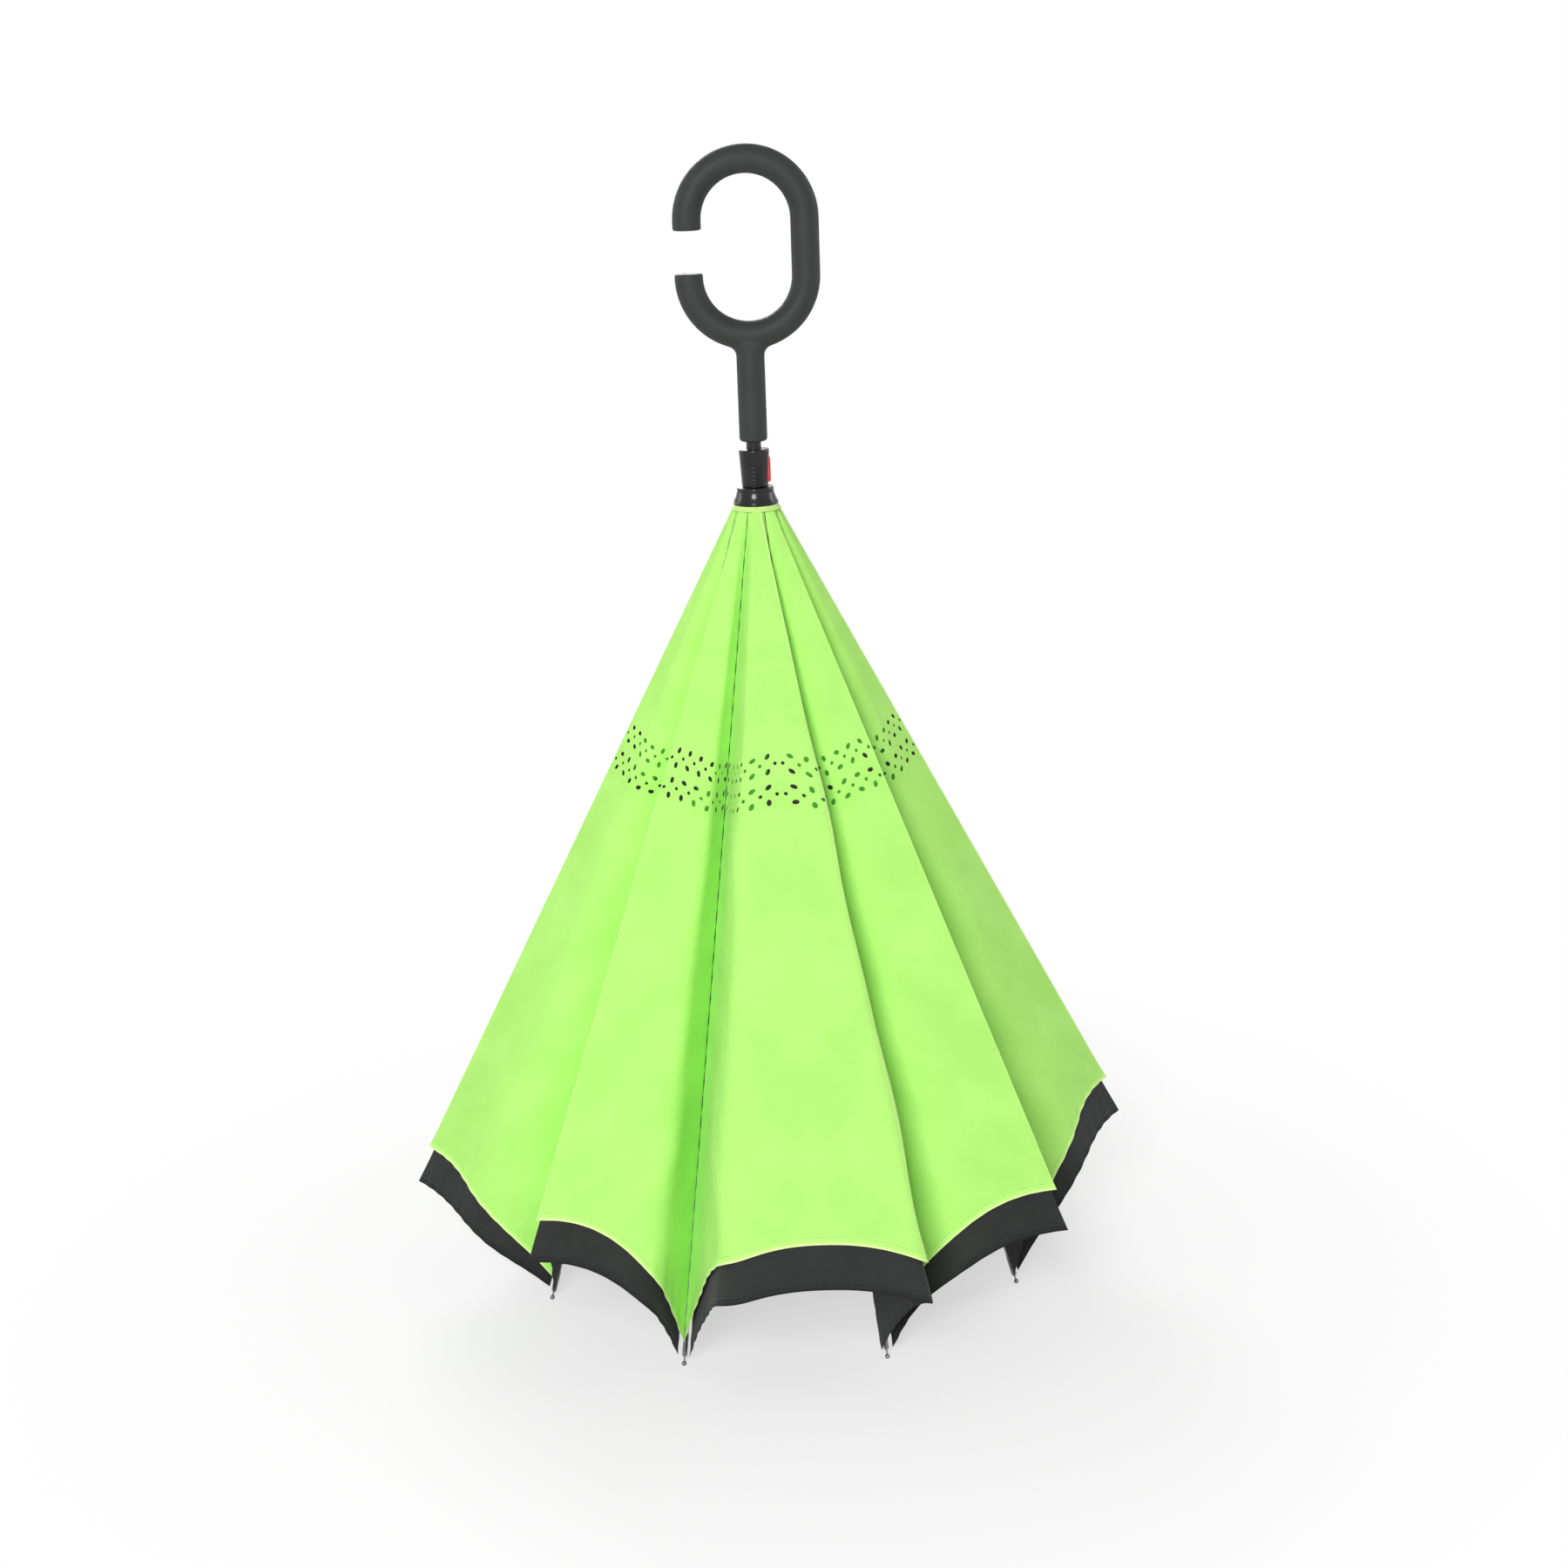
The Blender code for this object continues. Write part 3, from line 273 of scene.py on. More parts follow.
# %% Plated steel
def make_steel():
    """Nickel-plated steel, drawn lengthwise, a little dull and uneven."""
    material, tree, shader = new_finish("plated_steel", (0.20, 0.20, 0.21), 0.34, 1.0)
    place = own_place(tree)
    drawn = noise(tree, stretched_place(tree, place, 0.05), 2600.0, 2.0)
    cloud = noise(tree, place, 60.0, 3.0)
    tone = mottle(tree, cloud, (0.14, 0.14, 0.15), (0.25, 0.25, 0.26))
    tree.links.new(tone, shader.inputs["Base Color"])
    tree.links.new(spread(tree, drawn, 0.24, 0.42), shader.inputs["Roughness"])
    raise_surface(tree, shader, drawn, 0.12, 0.00008)
    return material


black_lacquer = make_gloss("black_lacquer", (0.012, 0.012, 0.012), (0.020, 0.020, 0.020), 0.28, 0.42)
soft_touch = make_soft_touch()
gloss_black = make_gloss("gloss_black_plastic", (0.010, 0.010, 0.011), (0.015, 0.015, 0.016), 0.14, 0.24)
red_plastic = make_gloss("red_plastic", (0.52, 0.045, 0.055), (0.60, 0.065, 0.075), 0.26, 0.38)
steel = make_steel()

# %% Finishes on the solids that stay in view
finish_by_slot = {
    "steel": steel,
    "gloss_black_plastic": gloss_black,
    "red_plastic": red_plastic,
    "soft_touch_rubber": soft_touch,
}
for node in frame["nodes"].values():
    for slot in node.material_slots:
        slot_name = slot.material.name.split(".")[0]
        if slot_name in finish_by_slot:
            slot.material = finish_by_slot[slot_name]
frame["nodes"]["shaft"].material_slots[0].material = black_lacquer

# %% [markdown]
# ## Finishes of the cloth
# Both layers are thin pongee: a plain weave of fine threads. The cloth carries a UV map in metres, so the
# threads follow each panel, and an attribute that says how far a point is from the hem. The edge of the
# green hem is painted paler, for the light that passes through it, and the black hem has a darker line. A
# second attribute gives the distance to the fold edges of the green layer, where a pale line is a painted
# highlight.
# %% Cloth
THREAD = 0.00045


def make_cloth(name, dark, light, rim, rim_width, hem_tone, sheen):
    """Plain-woven cloth with a hem, and on the green layer a painted highlight along its fold edges."""
    material, tree, shader = new_finish(name, light, 0.82, Sheen_Weight=sheen, Specular_IOR_Level=0.25)
    threads = put(tree, "ShaderNodeUVMap", uv_map="cloth").outputs["UV"]
    wave_scale = 2.0 * pi / 20.0 / THREAD
    weave = []
    for direction in ("X", "Y"):
        links = {"Vector": threads, "Scale": wave_scale, "Distortion": 0.4, "Detail Scale": 0.6}
        wave = put(tree, "ShaderNodeTexWave", links, bands_direction=direction)
        weave.append(wave.outputs["Fac"])
    height = calculate(tree, "MULTIPLY", *weave)
    cloud = noise(tree, threads, 22.0, 3.0)
    slub = noise(tree, threads, 900.0, 2.0)
    tone = mottle(tree, cloud, dark, light)
    links = {0: spread(tree, slub, 0.0, 0.10)}
    thread_tone = put(tree, "ShaderNodeMix", links, data_type="RGBA", blend_type="MULTIPLY")
    tree.links.new(tone, thread_tone.inputs[6])
    thread_tone.inputs[7].default_value = (0.72, 0.72, 0.72, 1.0)
    to_hem = put(tree, "ShaderNodeAttribute", attribute_name="to_hem").outputs["Fac"]
    in_hem = spread(tree, to_hem, 1.0, 0.0, HEM_WIDTH, HEM_WIDTH + 0.0006)
    hemmed = blend_colours(tree, in_hem, thread_tone.outputs[2], hem_tone)
    at_rim = spread(tree, to_hem, 1.0, 0.0, rim_width, rim_width + 0.0007)
    rimmed = blend_colours(tree, at_rim, hemmed, rim)
    # Painted highlight: a pale line of the rim colour along the crisp fold edges and creased ridges of the
    # green layer.
    to_fold = put(tree, "ShaderNodeAttribute", attribute_name="to_fold").outputs["Fac"]
    fold_highlight = spread(tree, calculate(tree, "ABSOLUTE", to_fold), 0.8, 0.0, 0.0003, 0.0010)
    tree.links.new(blend_colours(tree, fold_highlight, rimmed, rim), shader.inputs["Base Color"])
    raise_surface(tree, shader, height, 0.35, 0.00010)
    return material


HEM_WIDTH = 0.0055
green_cloth = make_cloth(
    "green_cloth",
    dark=(0.42, 0.83, 0.165),
    light=(0.47, 0.89, 0.195),
    rim=(0.74, 0.97, 0.36),
    rim_width=0.0011,
    hem_tone=(0.49, 0.90, 0.21),
    sheen=0.05,
)
black_cloth = make_cloth(
    "black_cloth",
    dark=(0.019, 0.021, 0.020),
    light=(0.026, 0.028, 0.027),
    rim=(0.008, 0.008, 0.008),
    rim_width=0.0010,
    hem_tone=(0.016, 0.017, 0.017),
    sheen=0.05,
)


# %% Thread and gauze
def make_thread(name, colour):
    """Sewing thread: twisted, so its tone changes along it."""
    material, tree, shader = new_finish(name, colour, 0.60, Sheen_Weight=0.2)
    place = own_place(tree)
    twist = noise(tree, place, 2400.0, 2.0)
    tone = mottle(tree, twist, tuple(0.7 * part for part in colour), colour)
    tree.links.new(tone, shader.inputs["Base Color"])
    raise_surface(tree, shader, twist, 0.4, 0.0001)
    return material


def make_gauze():
    """The strip seen through the perforations: dark green, painted as shade, and black in patches."""
    material, tree, shader = new_finish("painted_shade_gauze", (0.07, 0.42, 0.030), 0.85)
    place = own_place(tree)
    patches = noise(tree, place, 26.0, 1.0)
    mesh_tone = noise(tree, place, 1500.0, 1.0)
    # Painted shade: this dark green stands for the green cloth seen in shadow through the holes.
    green = mottle(tree, mesh_tone, (0.030, 0.26, 0.012), (0.055, 0.36, 0.022))
    tone = blend_colours(tree, spread(tree, patches, 0.0, 1.0, 0.505, 0.525), green, (0.010, 0.013, 0.010))
    tree.links.new(tone, shader.inputs["Base Color"])
    return material


green_thread = make_thread("green_thread", (0.30, 0.80, 0.07))
black_thread = make_thread("black_thread", (0.030, 0.030, 0.030))
pale_cloth = make_thread("pale_collar_cloth", (0.62, 0.95, 0.25))
painted_shade_gauze = make_gauze()

# %% [markdown]
# ## How the cloth folds
# Closed, the cloth of each panel folds out into a lobe between two ribs. Half a section starts at the seam,
# runs outwards, turns over a fold edge and crosses a nearly flat face to the crest. The direction of the
# cloth is enough to describe it: the section is the sum of small steps in that direction, with the turn found
# by halving until it spans the gap and stands as far out as the lobe does at that height. Each kind of fold
# has the place of its edge, the length of cloth in which it turns, and the share of the turn that is left at
# the crest: none where the face is flat, and most of it where the cloth runs straight up to a creased ridge.
# %% The section of half a lobe
HALF_STEPS = 96
LARGEST_TURN = radians(125.0)
FOLDS = {
    "crisp": (0.61, 0.10, 0.0),
    "rolled": (0.63, 0.24, 0.0),
    "slanted": (0.34, 0.20, 0.40),
    "soft": (0.36, 0.55, 0.36),
    "ridge": (0.20, 0.40, 0.90),
}
places = (np.arange(HALF_STEPS) + 0.5) / HALF_STEPS


def ease(value):
    """A smooth step from 0 to 1."""
    value = np.clip(value, 0.0, 1.0)
    return value * value * (3.0 - 2.0 * value)


def walk(turn, fold):
    """Half a section for one turn, in steps of one: sideways and outward distances from the seam."""
    edge, softness, last = fold
    direction = turn * (1.0 - (1.0 - last) * ease((places - edge) / softness + 0.5))
    across = np.concatenate(([0.0], np.cumsum(np.cos(direction))))
    out = np.concatenate(([0.0], np.cumsum(np.sin(direction))))
    return across, out


def fold_section(half_chord, height, fold):
    """Half a section that spans half the gap and stands at the height, in metres."""
    low, high = 0.0, LARGEST_TURN
    for _ in range(30):
        turn = (low + high) / 2.0
        across, out = walk(turn, fold)
        if across[-1] > 0.0 and out[-1] / across[-1] < height / half_chord:
            low = turn
        else:
            high = turn
    across, out = walk(low, fold)
    return (across / across[-1] - 1.0) * half_chord, out * (height / out[-1])


# %% [markdown]
# ## The two layers
# The green layer is outside when the umbrella is closed, and the black one lines the ribs. Their seams keep
# to the ribs, so a seam is a straight line, and so is the crest between two ribs. Only the height of the hem
# differs from lobe to lobe, as on the real one, where no two lobes hang alike.
# %% Sizes of the layers
COLLAR_GAP = 0.0006
BLACK_START_RADIUS = 0.0240
GREEN = {
    "name": "green",
    "offset": 0.0032,
    "tuck": 0.00025,
    "inset": 0.0,
    "top": FLARE_FOOT - COLLAR_GAP,
    "corner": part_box("green_gore_1")[0][2],
    "below": 0.0,
}
BLACK = {
    "name": "black",
    "offset": 0.0018,
    "tuck": 0.0044,
    "inset": 0.0045,
    "top": PIVOT_HEIGHT - (BLACK_START_RADIUS - PIVOT_RADIUS) / tan(RIB_ANGLE),
    "corner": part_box("black_gore_1")[0][2],
    "below": 0.0270,
}
COLLAR_RADIUS = 0.0148
CREST_SLOPE = radians(27.5)
CREST_HEIGHTS = [0.126, 0.119, 0.123, 0.112, 0.114, 0.110, 0.096, 0.121]
FOLD_KINDS = {
    "left": ["rolled", "soft", "soft", "soft", "rolled", "ridge", "ridge", "ridge"],
    "right": ["crisp", "ridge", "ridge", "ridge", "crisp", "soft", "soft", "slanted"],
}
LEAN_SHARES = [0.24, 0.16, 0.10, 0.15]
HEM_POWER = 2.3
TABLE_ROWS = 160
LOWEST = 0.0040


def tabulate(layer):
    """Work out half a section at many heights, so that any point can be read from the table."""
    apex = PIVOT_HEIGHT + (PIVOT_RADIUS + layer["offset"] / cos(RIB_ANGLE)) / tan(RIB_ANGLE)
    heights = np.linspace(layer["top"], LOWEST, TABLE_ROWS)
    for kind, fold in FOLDS.items():
        rows = [[], [], [], []]
        for height in heights:
            seam_radius = (apex - height) * tan(RIB_ANGLE)
            base = seam_radius * cos(HALF_SECTOR) + layer["tuck"] * sin(HALF_SECTOR)
            half_chord = seam_radius * sin(HALF_SECTOR) - layer["tuck"] * cos(HALF_SECTOR)
            crest = COLLAR_RADIUS + (GREEN["top"] - height) * tan(CREST_SLOPE) - layer["inset"]
            across, out = fold_section(half_chord, crest - base, fold)
            length = np.hypot(np.diff(across), np.diff(out)).sum()
            for row, value in zip(rows, (base, across, out, length)):
                row.append(value)
        layer[kind] = [np.array(row) for row in rows]
    print(layer["name"], "half a panel across, top and hem", round(rows[3][0], 4), round(rows[3][-1], 4))


for layer in (GREEN, BLACK):
    tabulate(layer)


# %% Points on the cloth
PLACE_NUDGE = 0.004
HEIGHT_NUDGE = 0.001
SEAM_PUCKER = 0.00016
SEAM_PUCKER_LENGTH = 0.0135
SEAM_FADE = 0.008
HEM_PUCKER = 0.00040
HEM_PUCKER_LENGTH = 0.0125
HEM_FADE = 0.010
WAVE = 0.0013
LONG_WAVE = 0.190
SHORT_WAVE = 0.083


def read_table(layer, rows, place, height):
    """Read a table between its rows and columns."""
    level = np.clip((layer["top"] - height) / (layer["top"] - LOWEST), 0.0, 1.0) * (TABLE_ROWS - 1)
    row = np.minimum(level.astype(int), TABLE_ROWS - 2)
    down = level - row
    if rows.ndim == 1:
        return rows[row] * (1.0 - down) + rows[row + 1] * down
    spot = np.clip(place, 0.0, 1.0) * HALF_STEPS
    step = np.minimum(spot.astype(int), HALF_STEPS - 1)
    along = spot - step
    upper = rows[row, step] * (1.0 - along) + rows[row, step + 1] * along
    lower = rows[row + 1, step] * (1.0 - along) + rows[row + 1, step + 1] * along
    return upper * (1.0 - down) + lower * down


def fold_kind(gore, side):
    """How this half folds."""
    return FOLD_KINDS[side][gore]


def half_length(layer, gore, side, height):
    """How much cloth there is from the seam to the crest."""
    return read_table(layer, layer[fold_kind(gore, side)][3], 0.0, height)


def hem_height(layer, gore, place):
    """Where the hem is, from the seam at 0 to the crest at 1."""
    crest = CREST_HEIGHTS[gore] - layer["below"]
    return crest + (layer["corner"] - crest) * np.abs(1.0 - place) ** HEM_POWER


def bare_points(layer, gore, side, place, height):
    """Points of half a panel. The place runs from 0 at the seam to 1 at the crest."""
    base, across, out, _ = (read_table(layer, rows, place, height) for rows in layer[fold_kind(gore, side)])
    if side == "right":
        across = -across
    across = across + LEAN_SHARES[gore % len(LEAN_SHARES)] * out
    azimuth = gore * SECTOR
    points = np.outer(base + out, outwards(azimuth)) + np.outer(across, sideways(azimuth))
    points[:, 2] = height
    return points


def cloth_points(layer, gore, side, place, height):
    """Points of half a panel, carried on past the crest where the place is over 1."""
    other = "left" if side == "right" else "right"
    points = bare_points(layer, gore, side, place, height)
    share = half_length(layer, gore, side, height) / half_length(layer, gore, other, height)
    beyond = bare_points(layer, gore, other, 1.0 - (place - 1.0) * share, height)
    return np.where((place > 1.0)[:, None], beyond, points)


def lifted_points(layer, gore, side, place, height, lift):
    """Points off the cloth by a distance, outwards where it is positive."""
    nudge = PLACE_NUDGE if side == "left" else -PLACE_NUDGE
    along = cloth_points(layer, gore, side, place + nudge, height)
    along -= cloth_points(layer, gore, side, place - nudge, height)
    up = cloth_points(layer, gore, side, place, height + HEIGHT_NUDGE)
    up -= cloth_points(layer, gore, side, place, height - HEIGHT_NUDGE)
    normals = np.cross(along, up)
    normals /= np.maximum(np.linalg.norm(normals, axis=1)[:, None], 1e-12)
    return cloth_points(layer, gore, side, place, height) + normals * np.reshape(lift, (-1, 1))


def creases(layer, gore, side, place, height):
    """Small folds: puckers along the seams and the hem, and slow waves over the faces."""
    seed = 1.7 * gore + (0.9 if side == "right" else 0.0)
    down = GREEN["top"] - height
    across = place * half_length(layer, gore, side, height)
    above_hem = np.maximum(height - hem_height(layer, gore, np.minimum(place, 1.0)), 0.0)
    seam_wave = np.sin(2.0 * pi * down / SEAM_PUCKER_LENGTH + seed)
    seam_pucker = SEAM_PUCKER * np.exp(-across / SEAM_FADE) * seam_wave
    hem_wave = np.sin(2.0 * pi * across / HEM_PUCKER_LENGTH + seed)
    hem_pucker = HEM_PUCKER * np.exp(-above_hem / HEM_FADE) * hem_wave
    inside = np.sin(pi * np.clip(place, 0.0, 1.0)) ** 2 * ease(down / 0.30)
    waves = np.sin(2.0 * pi * down / LONG_WAVE + 22.0 * across + seed)
    waves += 0.5 * np.sin(2.0 * pi * down / SHORT_WAVE - 41.0 * across + 2.3 * seed)
    return seam_pucker + ease(down / 0.25) * hem_pucker + WAVE * inside * waves


# %% [markdown]
# ## Cutting the panels
# A real panel is cut flat, perforated flat, and folds afterwards. The script does the same: a flat grid has
# one cell for each hole, Geometry Nodes insets those cells, turns and narrows them, deletes them and rounds
# the rest by subdivision, and then each point is carried to its place on the folded cloth. A panel is split
# at its crest into two halves. The left half runs on under the right one, 8 mm in green and up to 26 mm in
# black. That covers the crest while the umbrella is closed. Open, narrow slits still show in the black hem at
# some crests.
# %% Rows of the flat pattern
COLUMNS = 12
FLAP_COLUMNS = 2
UPPER_ROWS = 12
LOWER_ROWS = 22
BAND_START = 0.150
BAND_ROW = 0.0046
BAND_CUTS = ["leaf", "dot", "leaf", "", "leaf", "dot", "leaf"]
BAND_WAVE = 0.015
CUT_SHARES = {"leaf": 0.92, "dot": 0.50, "": 0.0}
GREEN["rows"] = UPPER_ROWS + len(BAND_CUTS) + LOWER_ROWS
GREEN["flap_rows"] = 9
GREEN["flap"] = 0.008
BLACK["rows"] = 24
BLACK["flap_rows"] = 24
BLACK["flap"] = 0.026


def cut_share(layer, row, column):
    """How much of a cell is cut out, or 0."""
    if layer is BLACK or not 0 <= row - UPPER_ROWS < len(BAND_CUTS) or column >= COLUMNS:
        return 0.0
    kind = BAND_CUTS[row - UPPER_ROWS]
    return CUT_SHARES[kind] if (column % 2 == 0) == (kind == "leaf") else 0.0


def row_heights(layer, gore, row, place):
    """The height at a row and a place. The band of holes keeps its width and waves across the panel."""
    hem = hem_height(layer, gore, np.minimum(place, 1.0))
    if layer is BLACK:
        return layer["top"] + (hem - layer["top"]) * row / layer["rows"]
    start = layer["top"] - BAND_START - BAND_WAVE * (1.0 - ease(np.minimum(place, 1.0)))
    end = start - BAND_ROW * len(BAND_CUTS)
    upper = layer["top"] + (start - layer["top"]) * row / UPPER_ROWS
    band = start - BAND_ROW * (row - UPPER_ROWS)
    lower = end + (hem - end) * (row - UPPER_ROWS - len(BAND_CUTS)) / LOWER_ROWS
    return np.where(row < UPPER_ROWS, upper, np.where(row < UPPER_ROWS + len(BAND_CUTS), band, lower))


def flat_pattern(layer, side):
    """The flat grid of half a panel: x counts columns from the seam, and y counts rows down."""
    width = COLUMNS + (FLAP_COLUMNS if side == "left" else 0)
    points = [(x, -y, 0.0) for y in range(layer["rows"] + 1) for x in range(width + 1)]
    cells, shares = [], []
    for row in range(layer["rows"]):
        for column in range(width):
            if column >= COLUMNS and row >= layer["flap_rows"]:
                continue
            corner = row * (width + 1) + column
            below = corner + width + 1
            cells.append((below, below + 1, corner + 1, corner))
            shares.append(cut_share(layer, row, column))
    mesh = bpy.data.meshes.new("flat_pattern")
    mesh.from_pydata(points, [], cells)
    mesh.attributes.new("cut", "FLOAT", "FACE").data.foreach_set("value", shares)
    return mesh


# %% Trees that perforate and sew
def new_tree(name, inputs):
    """A Geometry Nodes tree with named inputs."""
    tree = bpy.data.node_groups.new(name, "GeometryNodeTree")
    tree.interface.new_socket("Geometry", in_out="INPUT", socket_type="NodeSocketGeometry")
    for label, kind, value in inputs:
        socket = tree.interface.new_socket(label, in_out="INPUT", socket_type=f"NodeSocket{kind}")
        if value is not None:
            socket.default_value = value
    tree.interface.new_socket("Geometry", in_out="OUTPUT", socket_type="NodeSocketGeometry")
    return tree, put(tree, "NodeGroupInput").outputs, put(tree, "NodeGroupOutput")


def end_tree(tree, given, result, geometry):
    """Close a tree: real geometry with a material."""
    real = put(tree, "GeometryNodeRealizeInstances", {"Geometry": geometry})
    links = {"Geometry": real.outputs["Geometry"], "Material": given["Material"]}
    dressed = put(tree, "GeometryNodeSetMaterial", links)
    tree.links.new(dressed.outputs["Geometry"], result.inputs["Geometry"])


def run_tree(tree, mesh, values):
    """Run a tree on a mesh with the given inputs, and return the plain mesh."""
    piece = add_piece(tree.name, mesh)
    modifier = piece.modifiers.new(tree.name, "NODES")
    modifier.node_group = tree
    for item in tree.interface.items_tree:
        if item.in_out == "INPUT" and item.name in values:
            modifier[item.identifier] = values[item.name]
    return plain_mesh(piece)


def is_over(tree, value, limit):
    """Whether a value is over a limit."""
    links = {"A": value, "B": limit}
    return put(tree, "FunctionNodeCompare", links, operation="GREATER_THAN").outputs["Result"]


def make_perforating_tree():
    """Cells with a cut share are inset, narrowed in a random direction and deleted. The rest is rounded."""
    sizes = [("Narrowing", "Float", 0.68), ("Seed", "Int", 7), ("Material", "Material", None)]
    tree, given, result = new_tree("perforate", sizes)
    stored = put(tree, "GeometryNodeInputNamedAttribute", {"Name": "cut"}, data_type="FLOAT")
    share = stored.outputs["Attribute"]
    is_cut = is_over(tree, share, 0.01)
    is_leaf = is_over(tree, share, 0.6)
    links = {"Mesh": given["Geometry"], "Selection": is_cut, "Offset Scale": 0.0, "Individual": True}
    inset = put(tree, "GeometryNodeExtrudeMesh", links, mode="FACES")
    top = inset.outputs["Top"]
    links = {"Geometry": inset.outputs["Mesh"], "Selection": top, "Scale": share}
    shrunk = put(tree, "GeometryNodeScaleElements", links)
    angle = put(tree, "FunctionNodeRandomValue", {"Seed": given["Seed"]}, data_type="FLOAT")
    angle.inputs[3].default_value = pi
    across = calculate(tree, "COSINE", angle.outputs[1])
    down = calculate(tree, "SINE", angle.outputs[1])
    axis = put(tree, "ShaderNodeCombineXYZ", {"X": across, "Y": down}).outputs["Vector"]
    both = put(tree, "FunctionNodeBooleanMath", {0: top, 1: is_leaf}, operation="AND").outputs["Boolean"]
    links = {"Geometry": shrunk.outputs["Geometry"], "Selection": both}
    links |= {"Scale": given["Narrowing"], "Axis": axis}
    narrowed = put(tree, "GeometryNodeScaleElements", links, scale_mode="SINGLE_AXIS")
    links = {"Geometry": narrowed.outputs["Geometry"], "Selection": top}
    holed = put(tree, "GeometryNodeDeleteGeometry", links, domain="FACE")
    links = {"Mesh": holed.outputs["Geometry"], "Level": 2}
    rounded = put(tree, "GeometryNodeSubdivisionSurface", links, boundary_smooth="PRESERVE_CORNERS")
    end_tree(tree, given, result, rounded.outputs["Mesh"])
    return tree


def make_stitching_tree():
    """Stitches at even distances along a line, each turned along it."""
    sizes = [
        ("Spacing", "Float", 0.0034),
        ("Length", "Float", 0.0024),
        ("Thickness", "Float", 0.00042),
        ("Material", "Material", None),
    ]
    tree, given, result = new_tree("stitch", sizes)
    path = put(tree, "GeometryNodeMeshToCurve", {"Mesh": given["Geometry"]}).outputs["Curve"]
    links = {"Curve": path, "Length": given["Spacing"]}
    points = put(tree, "GeometryNodeCurveToPoints", links, mode="LENGTH")
    radius = calculate(tree, "MULTIPLY", given["Thickness"], 0.5)
    links = {"Vertices": 6, "Radius": radius, "Depth": given["Length"]}
    stitch = put(tree, "GeometryNodeMeshCylinder", links, fill_type="TRIANGLE_FAN")
    links = {"Vector": points.outputs["Tangent"]}
    turn = put(tree, "FunctionNodeAlignRotationToVector", links, axis="Z").outputs["Rotation"]
    links = {"Points": points.outputs["Points"], "Instance": stitch.outputs["Mesh"], "Rotation": turn}
    row = put(tree, "GeometryNodeInstanceOnPoints", links)
    end_tree(tree, given, result, row.outputs["Instances"])
    return tree


perforating = make_perforating_tree()
stitching = make_stitching_tree()


# %% Carry a flat pattern onto the folded cloth
HEM_SLANT = 1.12
UV_SLANT = 1.1
LEAST_FLAP_SHARE = 0.06
BLACK_FLAP_TOP_SHARE = 0.3
LARGEST_OVERLAP = 0.85
FLAP_SINK = 0.0006
NO_FOLD_LINE = 9.0


def mesh_points(mesh):
    """The points of a mesh as an array."""
    points = np.empty(len(mesh.vertices) * 3)
    mesh.vertices.foreach_get("co", points)
    return points.reshape(-1, 3)


def drape(mesh, layer, gore, side, depth=0.0):
    """Move a flat pattern onto the cloth, with a UV map in metres and its distances to the edges."""
    flat = mesh_points(mesh)
    column, row = flat[:, 0], -flat[:, 1]
    place = column / COLUMNS
    height = row_heights(layer, gore, row, place)
    length = half_length(layer, gore, side, height)
    over = np.maximum(place - 1.0, 0.0) * COLUMNS / FLAP_COLUMNS
    down = row / layer["flap_rows"]
    fade = np.clip(1.0 - down, LEAST_FLAP_SHARE, 1.0)
    if layer is BLACK:
        fade = BLACK_FLAP_TOP_SHARE + (1.0 - BLACK_FLAP_TOP_SHARE) * down
    overlap = over * np.minimum(layer["flap"] * fade / length, LARGEST_OVERLAP)
    place = np.where(over > 0.0, 1.0 + overlap, place)
    lift = creases(layer, gore, side, place, height) - FLAP_SINK * ease(over * 2.0) - depth
    points = lifted_points(layer, gore, side, place, height, lift)
    mesh.vertices.foreach_set("co", points.ravel())
    hem = hem_height(layer, gore, np.minimum(place, 1.0))
    # The crisp folds and creased ridges of the green layer get a painted highlight line, placed by the
    # distance to_fold.
    edges = {"crisp": FOLDS["crisp"][0], "ridge": 1.0}
    edge = edges.get(fold_kind(gore, side), NO_FOLD_LINE) if layer is GREEN else NO_FOLD_LINE
    to_fold = (place - edge) * length
    for name, values in (("to_hem", (height - hem) * HEM_SLANT), ("to_fold", to_fold)):
        mesh.attributes.new(name, "FLOAT", "POINT").data.foreach_set("value", values)
    corners = np.empty(len(mesh.loops), dtype=int)
    mesh.loops.foreach_get("vertex_index", corners)
    uv = np.stack(((place - 1.0) * length, (layer["top"] - height) * UV_SLANT), axis=1)
    mesh.uv_layers.new(name="cloth").data.foreach_set("uv", uv[corners].ravel())
    if side == "right":
        mesh.flip_normals()
    mesh.update()
    return mesh


def numbered(mesh, index):
    """Give all faces of a mesh one material number."""
    mesh.polygons.foreach_set("material_index", [index] * len(mesh.polygons))
    return mesh


def joined(name, meshes, materials):
    """One mesh from several, which keep their faces' material numbers."""
    bm = bmesh.new()
    for mesh in meshes:
        bm.from_mesh(mesh)
    whole = bpy.data.meshes.new(name)
    bm.to_mesh(whole)
    bm.free()
    for material in materials:
        whole.materials.append(material)
    return whole


STITCH_DROP = 0.0006
STITCH_LIFT = 0.00008


def hem_stitches(layer, gore, side, material):
    """A row of stitches just above the hem."""
    place = np.linspace(0.03, 0.99, 60)
    height = hem_height(layer, gore, place) + HEM_WIDTH / HEM_SLANT - STITCH_DROP
    lift = creases(layer, gore, side, place, height) + STITCH_LIFT
    points = lifted_points(layer, gore, side, place, height, lift)
    line = bpy.data.meshes.new("hem_line")
    line.from_pydata([tuple(point) for point in points], [(k, k + 1) for k in range(len(points) - 1)], [])
    return run_tree(stitching, line, {"Material": material})


# %% [markdown]
# ## Sewing both layers
# Each half is thickened to 0.35 mm, gets its row of hem stitches and, on the green layer, a strip of gauze
# just behind the holes.
# %% Make the halves
CLOTH_THICKNESS = 0.00035
GAUZE_DEPTH = 0.0012
SMOOTH_CLOTH = 50.0
GAUZE_ROWS = (UPPER_ROWS - 1, UPPER_ROWS + len(BAND_CUTS) + 1)


